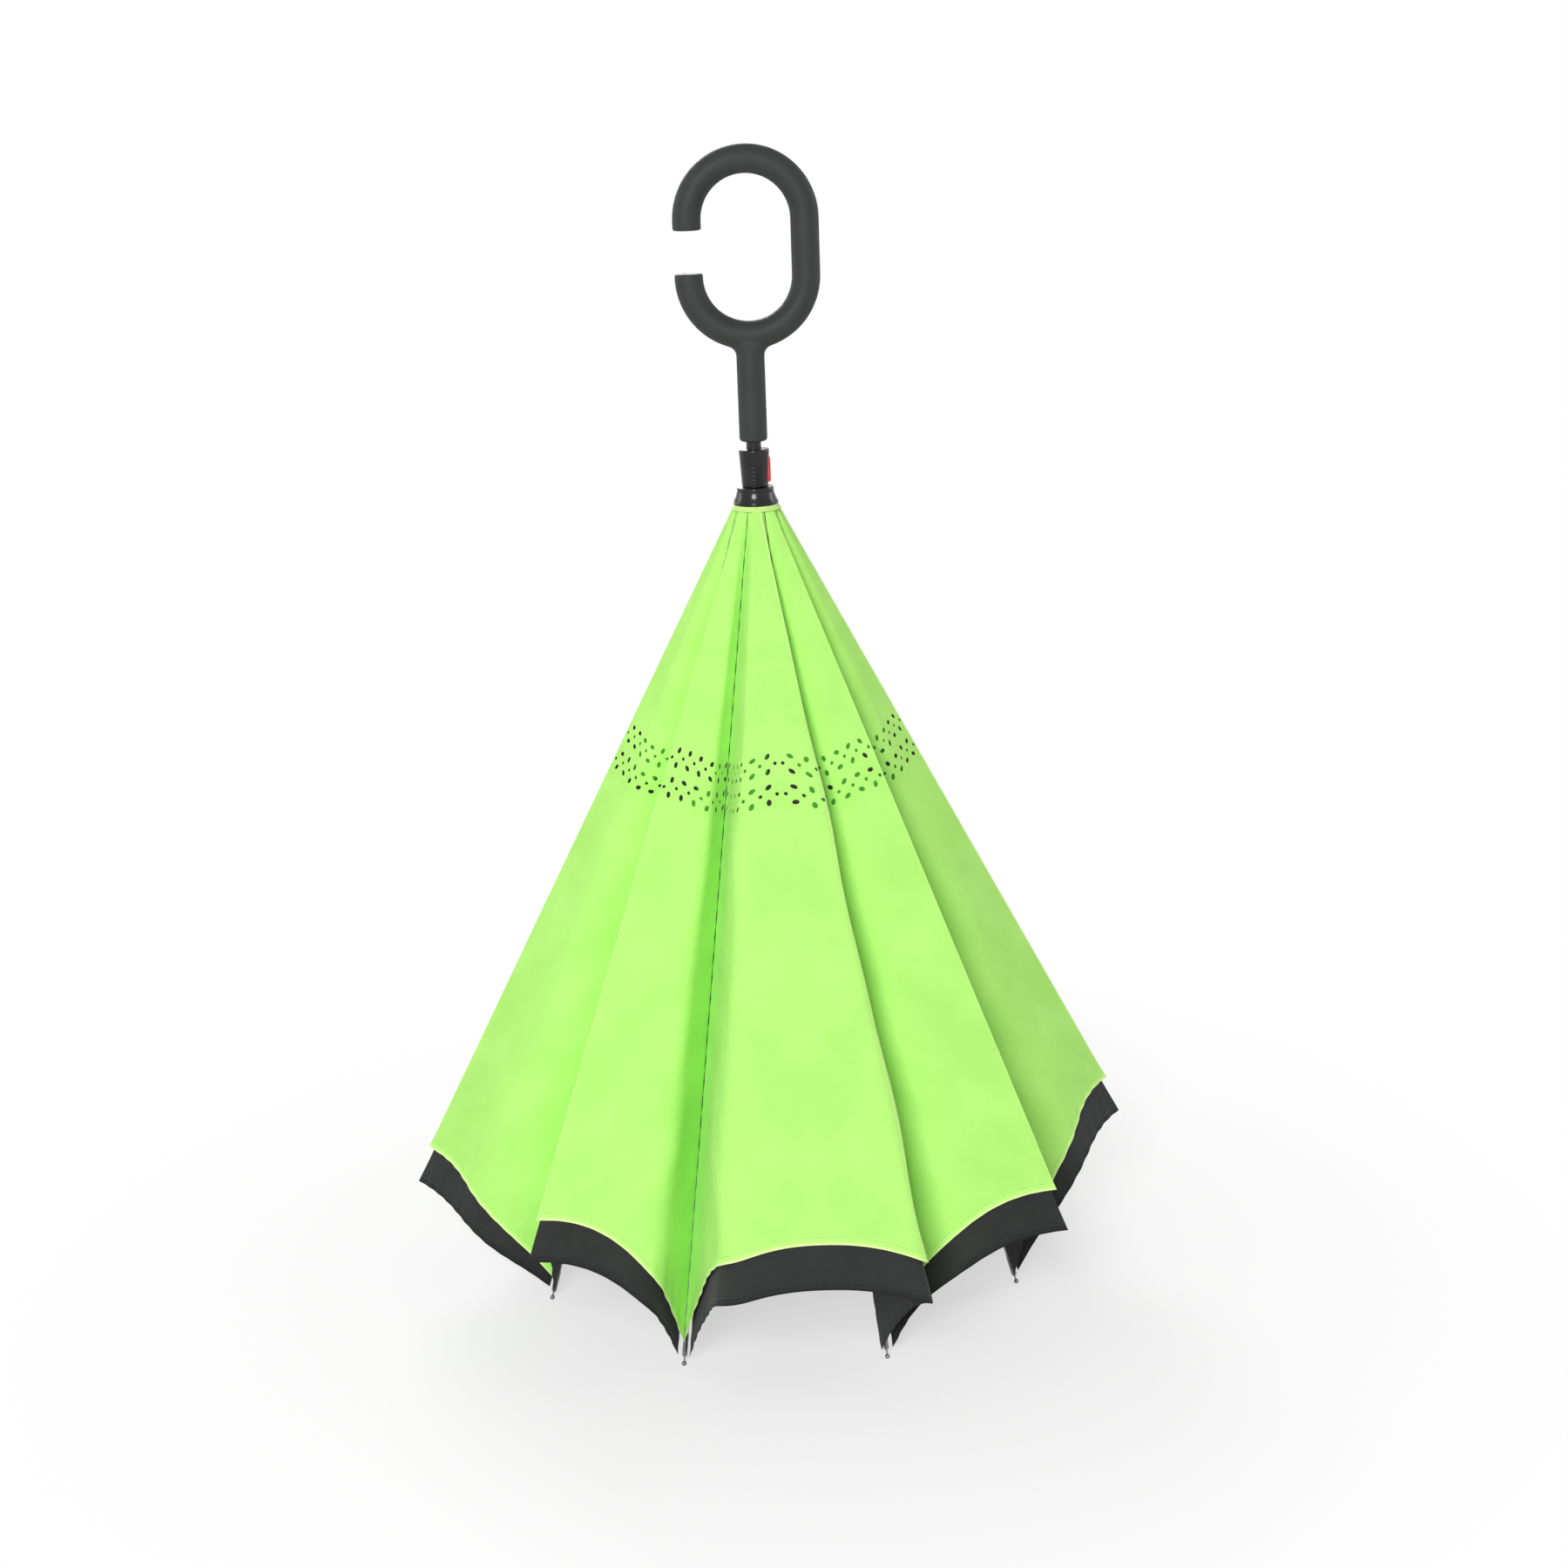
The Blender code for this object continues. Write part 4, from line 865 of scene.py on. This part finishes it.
def flat_area(layer, gore, side):
    """Area of half a panel's cloth, its widest width and its length."""
    places, rows = np.meshgrid(np.linspace(0.0, 1.0, 41), np.linspace(0.0, layer["rows"], 81))
    shape = places.shape
    heights = row_heights(layer, gore, rows.ravel(), places.ravel())
    grid = cloth_points(layer, gore, side, places.ravel(), heights).reshape(*shape, 3)
    down, across = np.diff(grid, axis=0)[:, :-1], np.diff(grid, axis=1)[:-1]
    area = np.linalg.norm(np.cross(down, across), axis=2).sum()
    width = np.linalg.norm(np.diff(grid, axis=1), axis=2).sum(axis=1).max()
    length = np.linalg.norm(np.diff(grid, axis=0), axis=2).sum(axis=0).max()
    return float(area), float(width), float(length)


def gauze_strip(gore, side):
    """The strip behind the holes."""
    mesh = bpy.data.meshes.new("gauze")
    first, last = GAUZE_ROWS
    rows = np.linspace(first + 0.5, last - 0.5, 20)
    columns = np.linspace(0.2, COLUMNS - 0.05, 40)
    points = [(x, -y, 0.0) for y in rows for x in columns]
    cells = []
    for row in range(len(rows) - 1):
        for column in range(len(columns) - 1):
            corner = row * len(columns) + column
            cells.append((corner + len(columns), corner + len(columns) + 1, corner + 1, corner))
    mesh.from_pydata(points, [], cells)
    return drape(mesh, GREEN, gore, side, depth=GAUZE_DEPTH)


def make_half(layer, gore, side):
    """Half a panel of one layer."""
    cloth, thread = (green_cloth, green_thread) if layer is GREEN else (black_cloth, black_thread)
    values = {"Material": cloth, "Seed": 11 * gore + (3 if side == "right" else 0)}
    panel = drape(run_tree(perforating, flat_pattern(layer, side), values), layer, gore, side)
    sheets = [numbered(panel, 0)]
    backing = cloth
    if layer is GREEN:
        sheets.append(numbered(gauze_strip(gore, side), 1))
        backing = painted_shade_gauze
    name = f"{layer['name']}_{side}_{gore + 1}"
    piece = add_piece(name + "_thin", joined(name + "_thin", sheets, [cloth, backing]))
    wall = piece.modifiers.new("Thickness", "SOLIDIFY")
    wall.thickness = CLOTH_THICKNESS
    wall.offset = -1.0
    stitches = numbered(hem_stitches(layer, gore, side, thread), 2)
    whole = joined(name, [plain_mesh(piece), stitches], [cloth, backing, thread])
    return smooth(add_piece(name, whole), SMOOTH_CLOTH)


def dress_half(piece, layer, gore, side):
    """Bake half a panel's place into its mesh, hide the imported gore it replaces and give the rib at its
    seam.
    """
    number = gore + 1
    rib = number if side == "left" else number % RIB_COUNT + 1
    heights = np.array([layer["top"], 0.100])
    seam = cloth_points(layer, gore, side, np.zeros(2), heights)
    crest = cloth_points(layer, gore, side, np.ones(2), heights)
    along = (seam[1] - seam[0]) / np.linalg.norm(seam[1] - seam[0])
    towards = crest[1] - seam[1]
    square = towards - along * towards.dot(along)
    square /= np.linalg.norm(square)
    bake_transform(piece)
    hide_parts(f"{layer['name']}_gore_{number}")
    return rib


sheets_to_declare = []
for layer in (GREEN, BLACK):
    for gore in range(RIB_COUNT):
        for side in ("left", "right"):
            piece = make_half(layer, gore, side)
            rib = dress_half(piece, layer, gore, side)
            sheets_to_declare.append((piece, layer, gore, side, rib))
faces = sum(len(item[0].data.polygons) for item in sheets_to_declare)
print("cloth faces", faces, "in", len(sheets_to_declare), "halves")

# %% [markdown]
# ## The collar
# The green layer ends at the top in a narrow pale band under the flare ring. It is a turned strip of cloth
# on the runner, thin enough that the folds of the panels tuck in behind it.
# %% Collar band
COLLAR_HEIGHT = 0.0032
COLLAR_WALL = 0.0004
COLLAR_BEND = 0.0008
COLLAR_SLOPE_SHARE = 0.8
collar_top = GREEN["top"] + 0.0003
collar_foot_radius = COLLAR_RADIUS + 0.0011 + COLLAR_HEIGHT * tan(CREST_SLOPE) * COLLAR_SLOPE_SHARE
collar_profile = [
    (COLLAR_RADIUS + 0.0003, collar_top),
    (COLLAR_RADIUS + 0.0007, collar_top - COLLAR_BEND),
    (collar_foot_radius, collar_top - COLLAR_HEIGHT),
]
collar_profile += [(radius - COLLAR_WALL, height) for radius, height in reversed(collar_profile)]
collar = turned("collar_band", collar_profile, 96, pale_cloth, closed=True)
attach(collar, "runner")
print("collar", len(collar.data.polygons))

for piece, layer, gore, side, rib in sheets_to_declare:
    area, width, length = flat_area(layer, gore, side)
print("half a panel, flat", round(width, 3), "by", round(length, 3), "area", round(area, 4))

# %% [markdown]
# ## The hook handle
# The handle is one moulding: a round tube bent into an open hook that hangs on a forearm, running into a
# short stem. A swept tube and a turned stem are made closed and overlapping, a voxel remesh joins them into
# one skin, and a little smoothing softens where they meet, as a soft-touch coating does.
# %% Hook and stem
TUBE_RADIUS = 0.0095
HOOK_RADIUS = 0.0390
LIP_EDGE = 0.0012
STEM_EDGE = 0.0020
STEM_FILLET = 0.0065
HOOK_STRAIGHT = 0.0365
HOOK_MOUTH = 0.0280
UPPER_LIP = 0.0060
TUBE_SIDES = 48
ARC_STEPS = 72
LIP_STEPS = 5
FOOT_STEPS = 6
FILLET_STEPS = 10
upper_centre = HOOK_TOP - TUBE_RADIUS - HOOK_RADIUS
lower_centre = upper_centre - HOOK_STRAIGHT
lower_lip = upper_centre - UPPER_LIP - HOOK_MOUTH


def hook_path():
    """The middle of the tube from the lower lip, round the bottom and up over the top to the upper lip."""
    path = [Vector((-HOOK_RADIUS, 0.0, lower_lip))]
    for centre, first, last in ((lower_centre, 180.0, 360.0), (upper_centre, 0.0, 180.0)):
        for radius, height in arc((0.0, centre), HOOK_RADIUS, first, last, ARC_STEPS):
            path.append(Vector((radius, 0.0, height)))
    path.append(Vector((-HOOK_RADIUS, 0.0, upper_centre - UPPER_LIP)))
    return path


def lip_rings(path, first):
    """Distances and radii that round a lip."""
    end = path[0] if first else path[-1]
    inwards = (path[1] - path[0]) if first else (path[-2] - path[-1])
    inwards.normalize()
    rings = []
    for k in range(LIP_STEPS + 1):
        angle = pi / 2.0 * k / LIP_STEPS
        spot = end + inwards * LIP_EDGE * (1.0 - sin(angle))
        rings.append((spot, TUBE_RADIUS - LIP_EDGE * (1.0 - cos(angle))))
    return rings[::-1] if first else rings


def ringed(name, rings):
    """A closed form from rings of points."""
    bm = bmesh.new()
    loops = [[bm.verts.new(point) for point in ring] for ring in rings]
    count = len(rings[0])
    for lower, upper in zip(loops, loops[1:]):
        for k in range(count):
            bm.faces.new((lower[k], lower[(k + 1) % count], upper[(k + 1) % count], upper[k]))
    bm.faces.new(loops[0][::-1])
    bm.faces.new(loops[-1])
    bmesh.ops.recalc_face_normals(bm, faces=bm.faces)
    mesh = bpy.data.meshes.new(name)
    bm.to_mesh(mesh)
    bm.free()
    return mesh


def make_hook():
    """The tube of the hook."""
    path = hook_path()
    stations = lip_rings(path, True)
    stations += [(point, TUBE_RADIUS) for point in path[1:-1]]
    stations += lip_rings(path, False)
    rings = []
    for k, (point, radius) in enumerate(stations):
        ahead = stations[min(k + 1, len(stations) - 1)][0] - stations[max(k - 1, 0)][0]
        ahead.normalize()
        side = Vector((-ahead.z, 0.0, ahead.x))
        ring = []
        for step in range(TUBE_SIDES):
            angle = 2.0 * pi * step / TUBE_SIDES
            ring.append(point + side * radius * cos(angle) + Vector((0.0, radius * sin(angle), 0.0)))
        rings.append(ring)
    return ringed("hook", rings)


def make_stem():
    """The stem: a rounded foot, a straight run, and fillets into the hook."""
    hook_foot = lower_centre - HOOK_RADIUS - TUBE_RADIUS
    sections = []
    for k in range(FOOT_STEPS + 1):
        angle = pi / 2.0 * k / FOOT_STEPS
        radius = TUBE_RADIUS - STEM_EDGE * (1.0 - sin(angle))
        sections.append((STEM_FOOT + STEM_EDGE * (1.0 - cos(angle)), radius, radius))
    outer = HOOK_RADIUS + TUBE_RADIUS
    fillet_centre = TUBE_RADIUS + STEM_FILLET
    drop = sqrt((outer + STEM_FILLET) ** 2 - fillet_centre ** 2)
    last = pi / 2.0 - asin(fillet_centre / (outer + STEM_FILLET))
    for k in range(FILLET_STEPS + 1):
        angle = last * k / FILLET_STEPS
        height = lower_centre - drop + STEM_FILLET * sin(angle)
        sections.append((height, fillet_centre - STEM_FILLET * cos(angle), TUBE_RADIUS))
    sections.append((hook_foot + TUBE_RADIUS, TUBE_RADIUS, TUBE_RADIUS - 0.0003))
    rings = []
    for height, wide, deep in sections:
        turns = [2.0 * pi * k / TUBE_SIDES for k in range(TUBE_SIDES)]
        rings.append([Vector((wide * cos(turn), deep * sin(turn), height)) for turn in turns])
    return ringed("stem", rings)


handle = add_piece("handle_skin_rough", joined("handle_rough", [make_hook(), make_stem()], [soft_touch]))
remesh = handle.modifiers.new("One skin", "REMESH")
remesh.mode = "VOXEL"
remesh.voxel_size = 0.0008
remesh.use_smooth_shade = True
soften = handle.modifiers.new("Soften", "SMOOTH")
soften.factor = 0.5
soften.iterations = 5
handle_mesh = plain_mesh(handle)
handle_mesh.materials.clear()
handle = add_piece("handle_skin", handle_mesh, soft_touch)
handle.data.shade_smooth()
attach(handle, "frame")
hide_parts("handle")
print("handle faces", len(handle.data.polygons))

# %% [markdown]
# ## Runner, ridges and flare ring
# The runner slides on the shaft. Its body and the flare ring are turned forms, so a profile and the Screw
# modifier are enough. The thumb ridges repeat up the body, so one bent bar is copied by Geometry Nodes.
# %% Runner body
RUNNER_TOP_RADIUS = 0.01035
RUNNER_FOOT_RADIUS = 0.0090
BORE = 0.0053
EDGE = 0.0010
FINE_EDGE = 0.0003
BUTTON_GAP = 0.0003
POCKET_DEPTH = 0.0015
POCKET_REACH = 0.0140
foot_turn = (RUNNER_FOOT_RADIUS - FINE_EDGE, RUNNER_FOOT + FINE_EDGE)
runner_profile = [(BORE, RUNNER_FOOT), (foot_turn[0], RUNNER_FOOT)]
runner_profile += arc(foot_turn, FINE_EDGE, -90.0, 0.0, 4)[1:]
runner_profile += arc((RUNNER_TOP_RADIUS - EDGE, RUNNER_TOP - EDGE), EDGE, 0.0, 90.0, 8)
runner_profile += [(BORE, RUNNER_TOP)]
runner = turned("runner_skin_rough", runner_profile, 96, gloss_black, closed=True)
button_low, button_high = (Vector(corner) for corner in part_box("red_button"))
pocket_mesh = bpy.data.meshes.new("pocket")
pocket_bm = bmesh.new()
bmesh.ops.create_cube(pocket_bm, size=1.0)
for vertex in pocket_bm.verts:
    vertex.co.x = button_low.x - POCKET_DEPTH if vertex.co.x < 0.0 else POCKET_REACH
    vertex.co.y = button_low.y - BUTTON_GAP if vertex.co.y < 0.0 else button_high.y + BUTTON_GAP
    vertex.co.z = button_low.z - BUTTON_GAP if vertex.co.z < 0.0 else button_high.z + BUTTON_GAP
pocket_bm.to_mesh(pocket_mesh)
pocket_bm.free()
pocket = add_piece("pocket", pocket_mesh)
cut = runner.modifiers.new("Pocket", "BOOLEAN")
cut.object = pocket
cut.operation = "DIFFERENCE"
cut.solver = "EXACT"
bpy.context.view_layer.update()
runner_mesh = plain_mesh(runner)
bpy.data.objects.remove(pocket)
runner_mesh.materials.clear()
runner = smooth(add_piece("runner_skin", runner_mesh, gloss_black), 40.0)
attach(runner, "runner")
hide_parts("runner_body")
print("runner faces", len(runner.data.polygons))


# %% Thumb ridges
RIDGE_RADIUS = 0.0007
RIDGE_SPREAD = radians(26.0)
RIDGE_AZIMUTH = radians(12.0)
RIDGE_FIRST = 0.0026
RIDGE_STEPS = 28
RIDGE_SIDES = 12


def make_ridge():
    """One bar bent round the runner, with round ends."""
    height = RUNNER_FOOT + RIDGE_FIRST
    widening = RUNNER_TOP_RADIUS - RUNNER_FOOT_RADIUS
    distance = RUNNER_FOOT_RADIUS + widening * RIDGE_FIRST / (RUNNER_TOP - RUNNER_FOOT)
    rings = []
    for k in range(RIDGE_STEPS + 1):
        share = 2.0 * k / RIDGE_STEPS - 1.0
        azimuth = RIDGE_AZIMUTH + RIDGE_SPREAD * share
        size = RIDGE_RADIUS * max(sqrt(max(1.0 - abs(share) ** 16, 0.0)), 0.05)
        ring = []
        for step in range(RIDGE_SIDES):
            angle = 2.0 * pi * step / RIDGE_SIDES
            point = outwards(azimuth) * (distance + size * cos(angle))
            point.z = height + size * sin(angle)
            ring.append(point)
        rings.append(ring)
    return ringed("ridge", rings)


def make_ridge_tree():
    """Copies of one ridge up the runner, a little wider each time because the body widens."""
    sizes = [
        ("Count", "Int", 5),
        ("Pitch", "Float", 0.0027),
        ("Widening", "Float", 0.016),
        ("Material", "Material", None),
    ]
    tree, given, result = new_tree("ridges", sizes)
    step = put(tree, "ShaderNodeCombineXYZ", {"Z": given["Pitch"]}).outputs["Vector"]
    line = put(tree, "GeometryNodeMeshLine", {"Count": given["Count"], "Offset": step}).outputs["Mesh"]
    number = put(tree, "GeometryNodeInputIndex").outputs["Index"]
    wider = calculate(tree, "MULTIPLY_ADD", number, given["Widening"], 1.0)
    scale = put(tree, "ShaderNodeCombineXYZ", {"X": wider, "Y": wider, "Z": 1.0}).outputs["Vector"]
    links = {"Points": line, "Instance": given["Geometry"], "Scale": scale}
    copies = put(tree, "GeometryNodeInstanceOnPoints", links)
    end_tree(tree, given, result, copies.outputs["Instances"])
    return tree


ridges = add_piece("thumb_ridges", run_tree(make_ridge_tree(), make_ridge(), {"Material": gloss_black}))
smooth(ridges, 60.0)
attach(ridges, "runner")
print("ridges", [round(value, 4) for value in ridges.dimensions])

# %% Flare ring
FLARE_TOP_RADIUS = 0.0125
FLARE_FOOT_RADIUS = 0.0155
FLARE_LIP = 0.0014
FLARE_STEPS = 24
lip_radius = FLARE_FOOT_RADIUS - FINE_EDGE
lip_top = FLARE_FOOT + FLARE_LIP
shoulder = FLARE_TOP - EDGE
flare_profile = [(BORE, FLARE_TOP)] + arc((FLARE_TOP_RADIUS - EDGE, shoulder), EDGE, 90.0, 0.0, 8)
for k in range(1, FLARE_STEPS + 1):
    share = k / FLARE_STEPS
    radius = FLARE_TOP_RADIUS + (lip_radius - FLARE_TOP_RADIUS) * share ** 2
    flare_profile.append((radius, shoulder + (lip_top + FINE_EDGE - shoulder) * share))
flare_profile += arc((lip_radius, lip_top - FINE_EDGE), FINE_EDGE, 90.0, 0.0, 3)
flare_profile += arc((lip_radius, FLARE_FOOT + FINE_EDGE), FINE_EDGE, 0.0, -90.0, 3)
flare_profile += [(BORE, FLARE_FOOT)]
flare = turned("flare_skin", flare_profile, 128, gloss_black, closed=True)
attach(flare, "runner")
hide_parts("flare_ring")
print("flare ring faces", len(flare.data.polygons))

# %% [markdown]
# ## Rib tips
# Each rib ends in a crimped collar, a wire neck and a small ball that keeps the cloth off the ground. It is
# a turned form, tilted with its rib. The ball is cut flat at the floor, as if worn from standing there.
# %% Tips
RIB_LENGTH = 0.577
TIP_REACH = 0.0055
BALL = 0.0017
NECK_RADIUS = 0.00055


def make_tip(index):
    """The tip of one rib: a crimped collar, a neck and a ball."""
    profile = [(0.0, 0.0), (0.0010, 0.0), (0.0012, -0.0002), (0.0012, -0.0006), (0.0010, -0.0008)]
    profile += [(NECK_RADIUS, -0.0010), (NECK_RADIUS, -TIP_REACH + BALL * 0.95)]
    profile += arc((0.0, -TIP_REACH), BALL, 70.0, -90.0, 14)
    tip = turned(f"tip_skin_{index + 1}", profile, 24, steel)
    pivot = outwards(rib_azimuth(index)) * PIVOT_RADIUS + Vector((0.0, 0.0, PIVOT_HEIGHT))
    turn = Matrix.Rotation(rib_azimuth(index) - pi / 2.0, 4, "Z") @ Matrix.Rotation(-RIB_ANGLE, 4, "Y")
    tip.data.transform(Matrix.Translation(pivot) @ turn @ Matrix.Translation((0.0, 0.0, -RIB_LENGTH)))
    for vertex in tip.data.vertices:
        vertex.co.z = max(vertex.co.z, 0.0)
    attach(tip, f"rib_arm_{index + 1}")
    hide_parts(f"tip_{index + 1}")
    return tip


tips = [make_tip(index) for index in range(RIB_COUNT)]
print("tips", len(tips))

# %% [markdown]
# ## Floor, light and camera
# The photograph is a plain studio shot on white. The floor is pale and keeps the object's shadow, and far
# from the object it fades to white for the camera, as the backdrop is. A key lamp above the camera, a weak
# fill and lamps round the sides and the back are set so that a colour renders about as it is written.
# %% Floor
FLOOR_REACH = 6.0
WHITE = (1.0, 1.0, 1.0, 1.0)


def seen_directly(tree):
    """1 for what the camera sees, also in a mirror or through glass, and 0 for light that falls on things."""
    rays = put(tree, "ShaderNodeLightPath").outputs
    seen = calculate(tree, "MAXIMUM", rays["Is Camera Ray"], rays["Is Glossy Ray"])
    return calculate(tree, "MAXIMUM", seen, rays["Is Transmission Ray"])


corners = [(x * FLOOR_REACH, y * FLOOR_REACH, 0.0) for x, y in ((-1, -1), (1, -1), (1, 1), (-1, 1))]
floor_mesh = bpy.data.meshes.new("floor")
floor_mesh.from_pydata(corners, [], [(0, 1, 2, 3)])
floor_material = bpy.data.materials.new("pale_floor")
floor_material.use_nodes = True
tree = floor_material.node_tree
tree.nodes.clear()
distance = put(tree, "ShaderNodeVectorMath", {0: own_place(tree)}, operation="LENGTH").outputs["Value"]
fade = spread(tree, distance, 0.60, 1.0, 0.18, 0.60)
factor = calculate(tree, "MULTIPLY", seen_directly(tree), fade)
matte = put(tree, "ShaderNodeBsdfDiffuse", {"Color": (0.86, 0.86, 0.86, 1.0)}).outputs["BSDF"]
white = put(tree, "ShaderNodeEmission", {"Color": WHITE, "Strength": 1.0}).outputs["Emission"]
mixed = put(tree, "ShaderNodeMixShader", {0: factor, 1: matte, 2: white}).outputs["Shader"]
put(tree, "ShaderNodeOutputMaterial", {"Surface": mixed})
floor = add_piece("floor", floor_mesh, floor_material)

# %% World
SOFT_LIGHT = 0.09
world = bpy.data.worlds.new("studio")
bpy.context.scene.world = world
world.use_nodes = True
tree = world.node_tree
tree.nodes.clear()
soft = put(tree, "ShaderNodeBackground", {"Color": WHITE, "Strength": SOFT_LIGHT}).outputs["Background"]
plain = put(tree, "ShaderNodeBackground", {"Color": WHITE, "Strength": 1.0}).outputs["Background"]
mixed = put(tree, "ShaderNodeMixShader", {0: seen_directly(tree), 1: soft, 2: plain}).outputs["Shader"]
put(tree, "ShaderNodeOutputWorld", {"Surface": mixed})


# %% Lamps
def add_lamp(name, place, power, size):
    """A square lamp that looks at the middle of the object."""
    data = bpy.data.lights.new(name, "AREA")
    data.energy = power
    data.size = size
    lamp = bpy.data.objects.new(name, data)
    lamp.location = place
    aim = Vector((0.0, 0.0, 0.35)) - Vector(place)
    lamp.rotation_euler = aim.to_track_quat("-Z", "Y").to_euler()
    bpy.context.scene.collection.objects.link(lamp)
    return lamp


LAMPS = {
    "key_lamp": ((-0.45, -2.5, 1.55), 68.0, 0.9),
    "fill_lamp": ((2.2, -1.6, 0.9), 3.0, 1.6),
    "back_lamp": ((-0.6, 2.5, 1.6), 62.0, 1.2),
    "left_lamp": ((-2.5, 0.7, 1.2), 16.0, 1.2),
    "right_lamp": ((2.5, 0.7, 1.2), 16.0, 1.2),
}
for name, (place, power, size) in LAMPS.items():
    add_lamp(name, place, power, size)

# %% Camera
PITCH = radians(16.65)
ROLL = radians(-2.0)
LENS = 54.2
SENSOR = 36.0
CAMERA_PLACE = (0.0125, -1.6, 0.84)
ahead = Vector((0.0, cos(PITCH), -sin(PITCH)))
level = Vector((1.0, 0.0, 0.0))
upright = level.cross(ahead)
right = level * cos(ROLL) + upright * sin(ROLL)
above = upright * cos(ROLL) - level * sin(ROLL)
camera_data = bpy.data.cameras.new("camera")
camera_data.lens = LENS
camera_data.sensor_width = SENSOR
camera = bpy.data.objects.new("camera", camera_data)
axes = Matrix((right, above, -ahead)).transposed().to_4x4()
camera.matrix_world = Matrix.Translation(CAMERA_PLACE) @ axes
bpy.context.scene.collection.objects.link(camera)
bpy.context.scene.camera = camera
bpy.context.scene.view_settings.view_transform = "Standard"
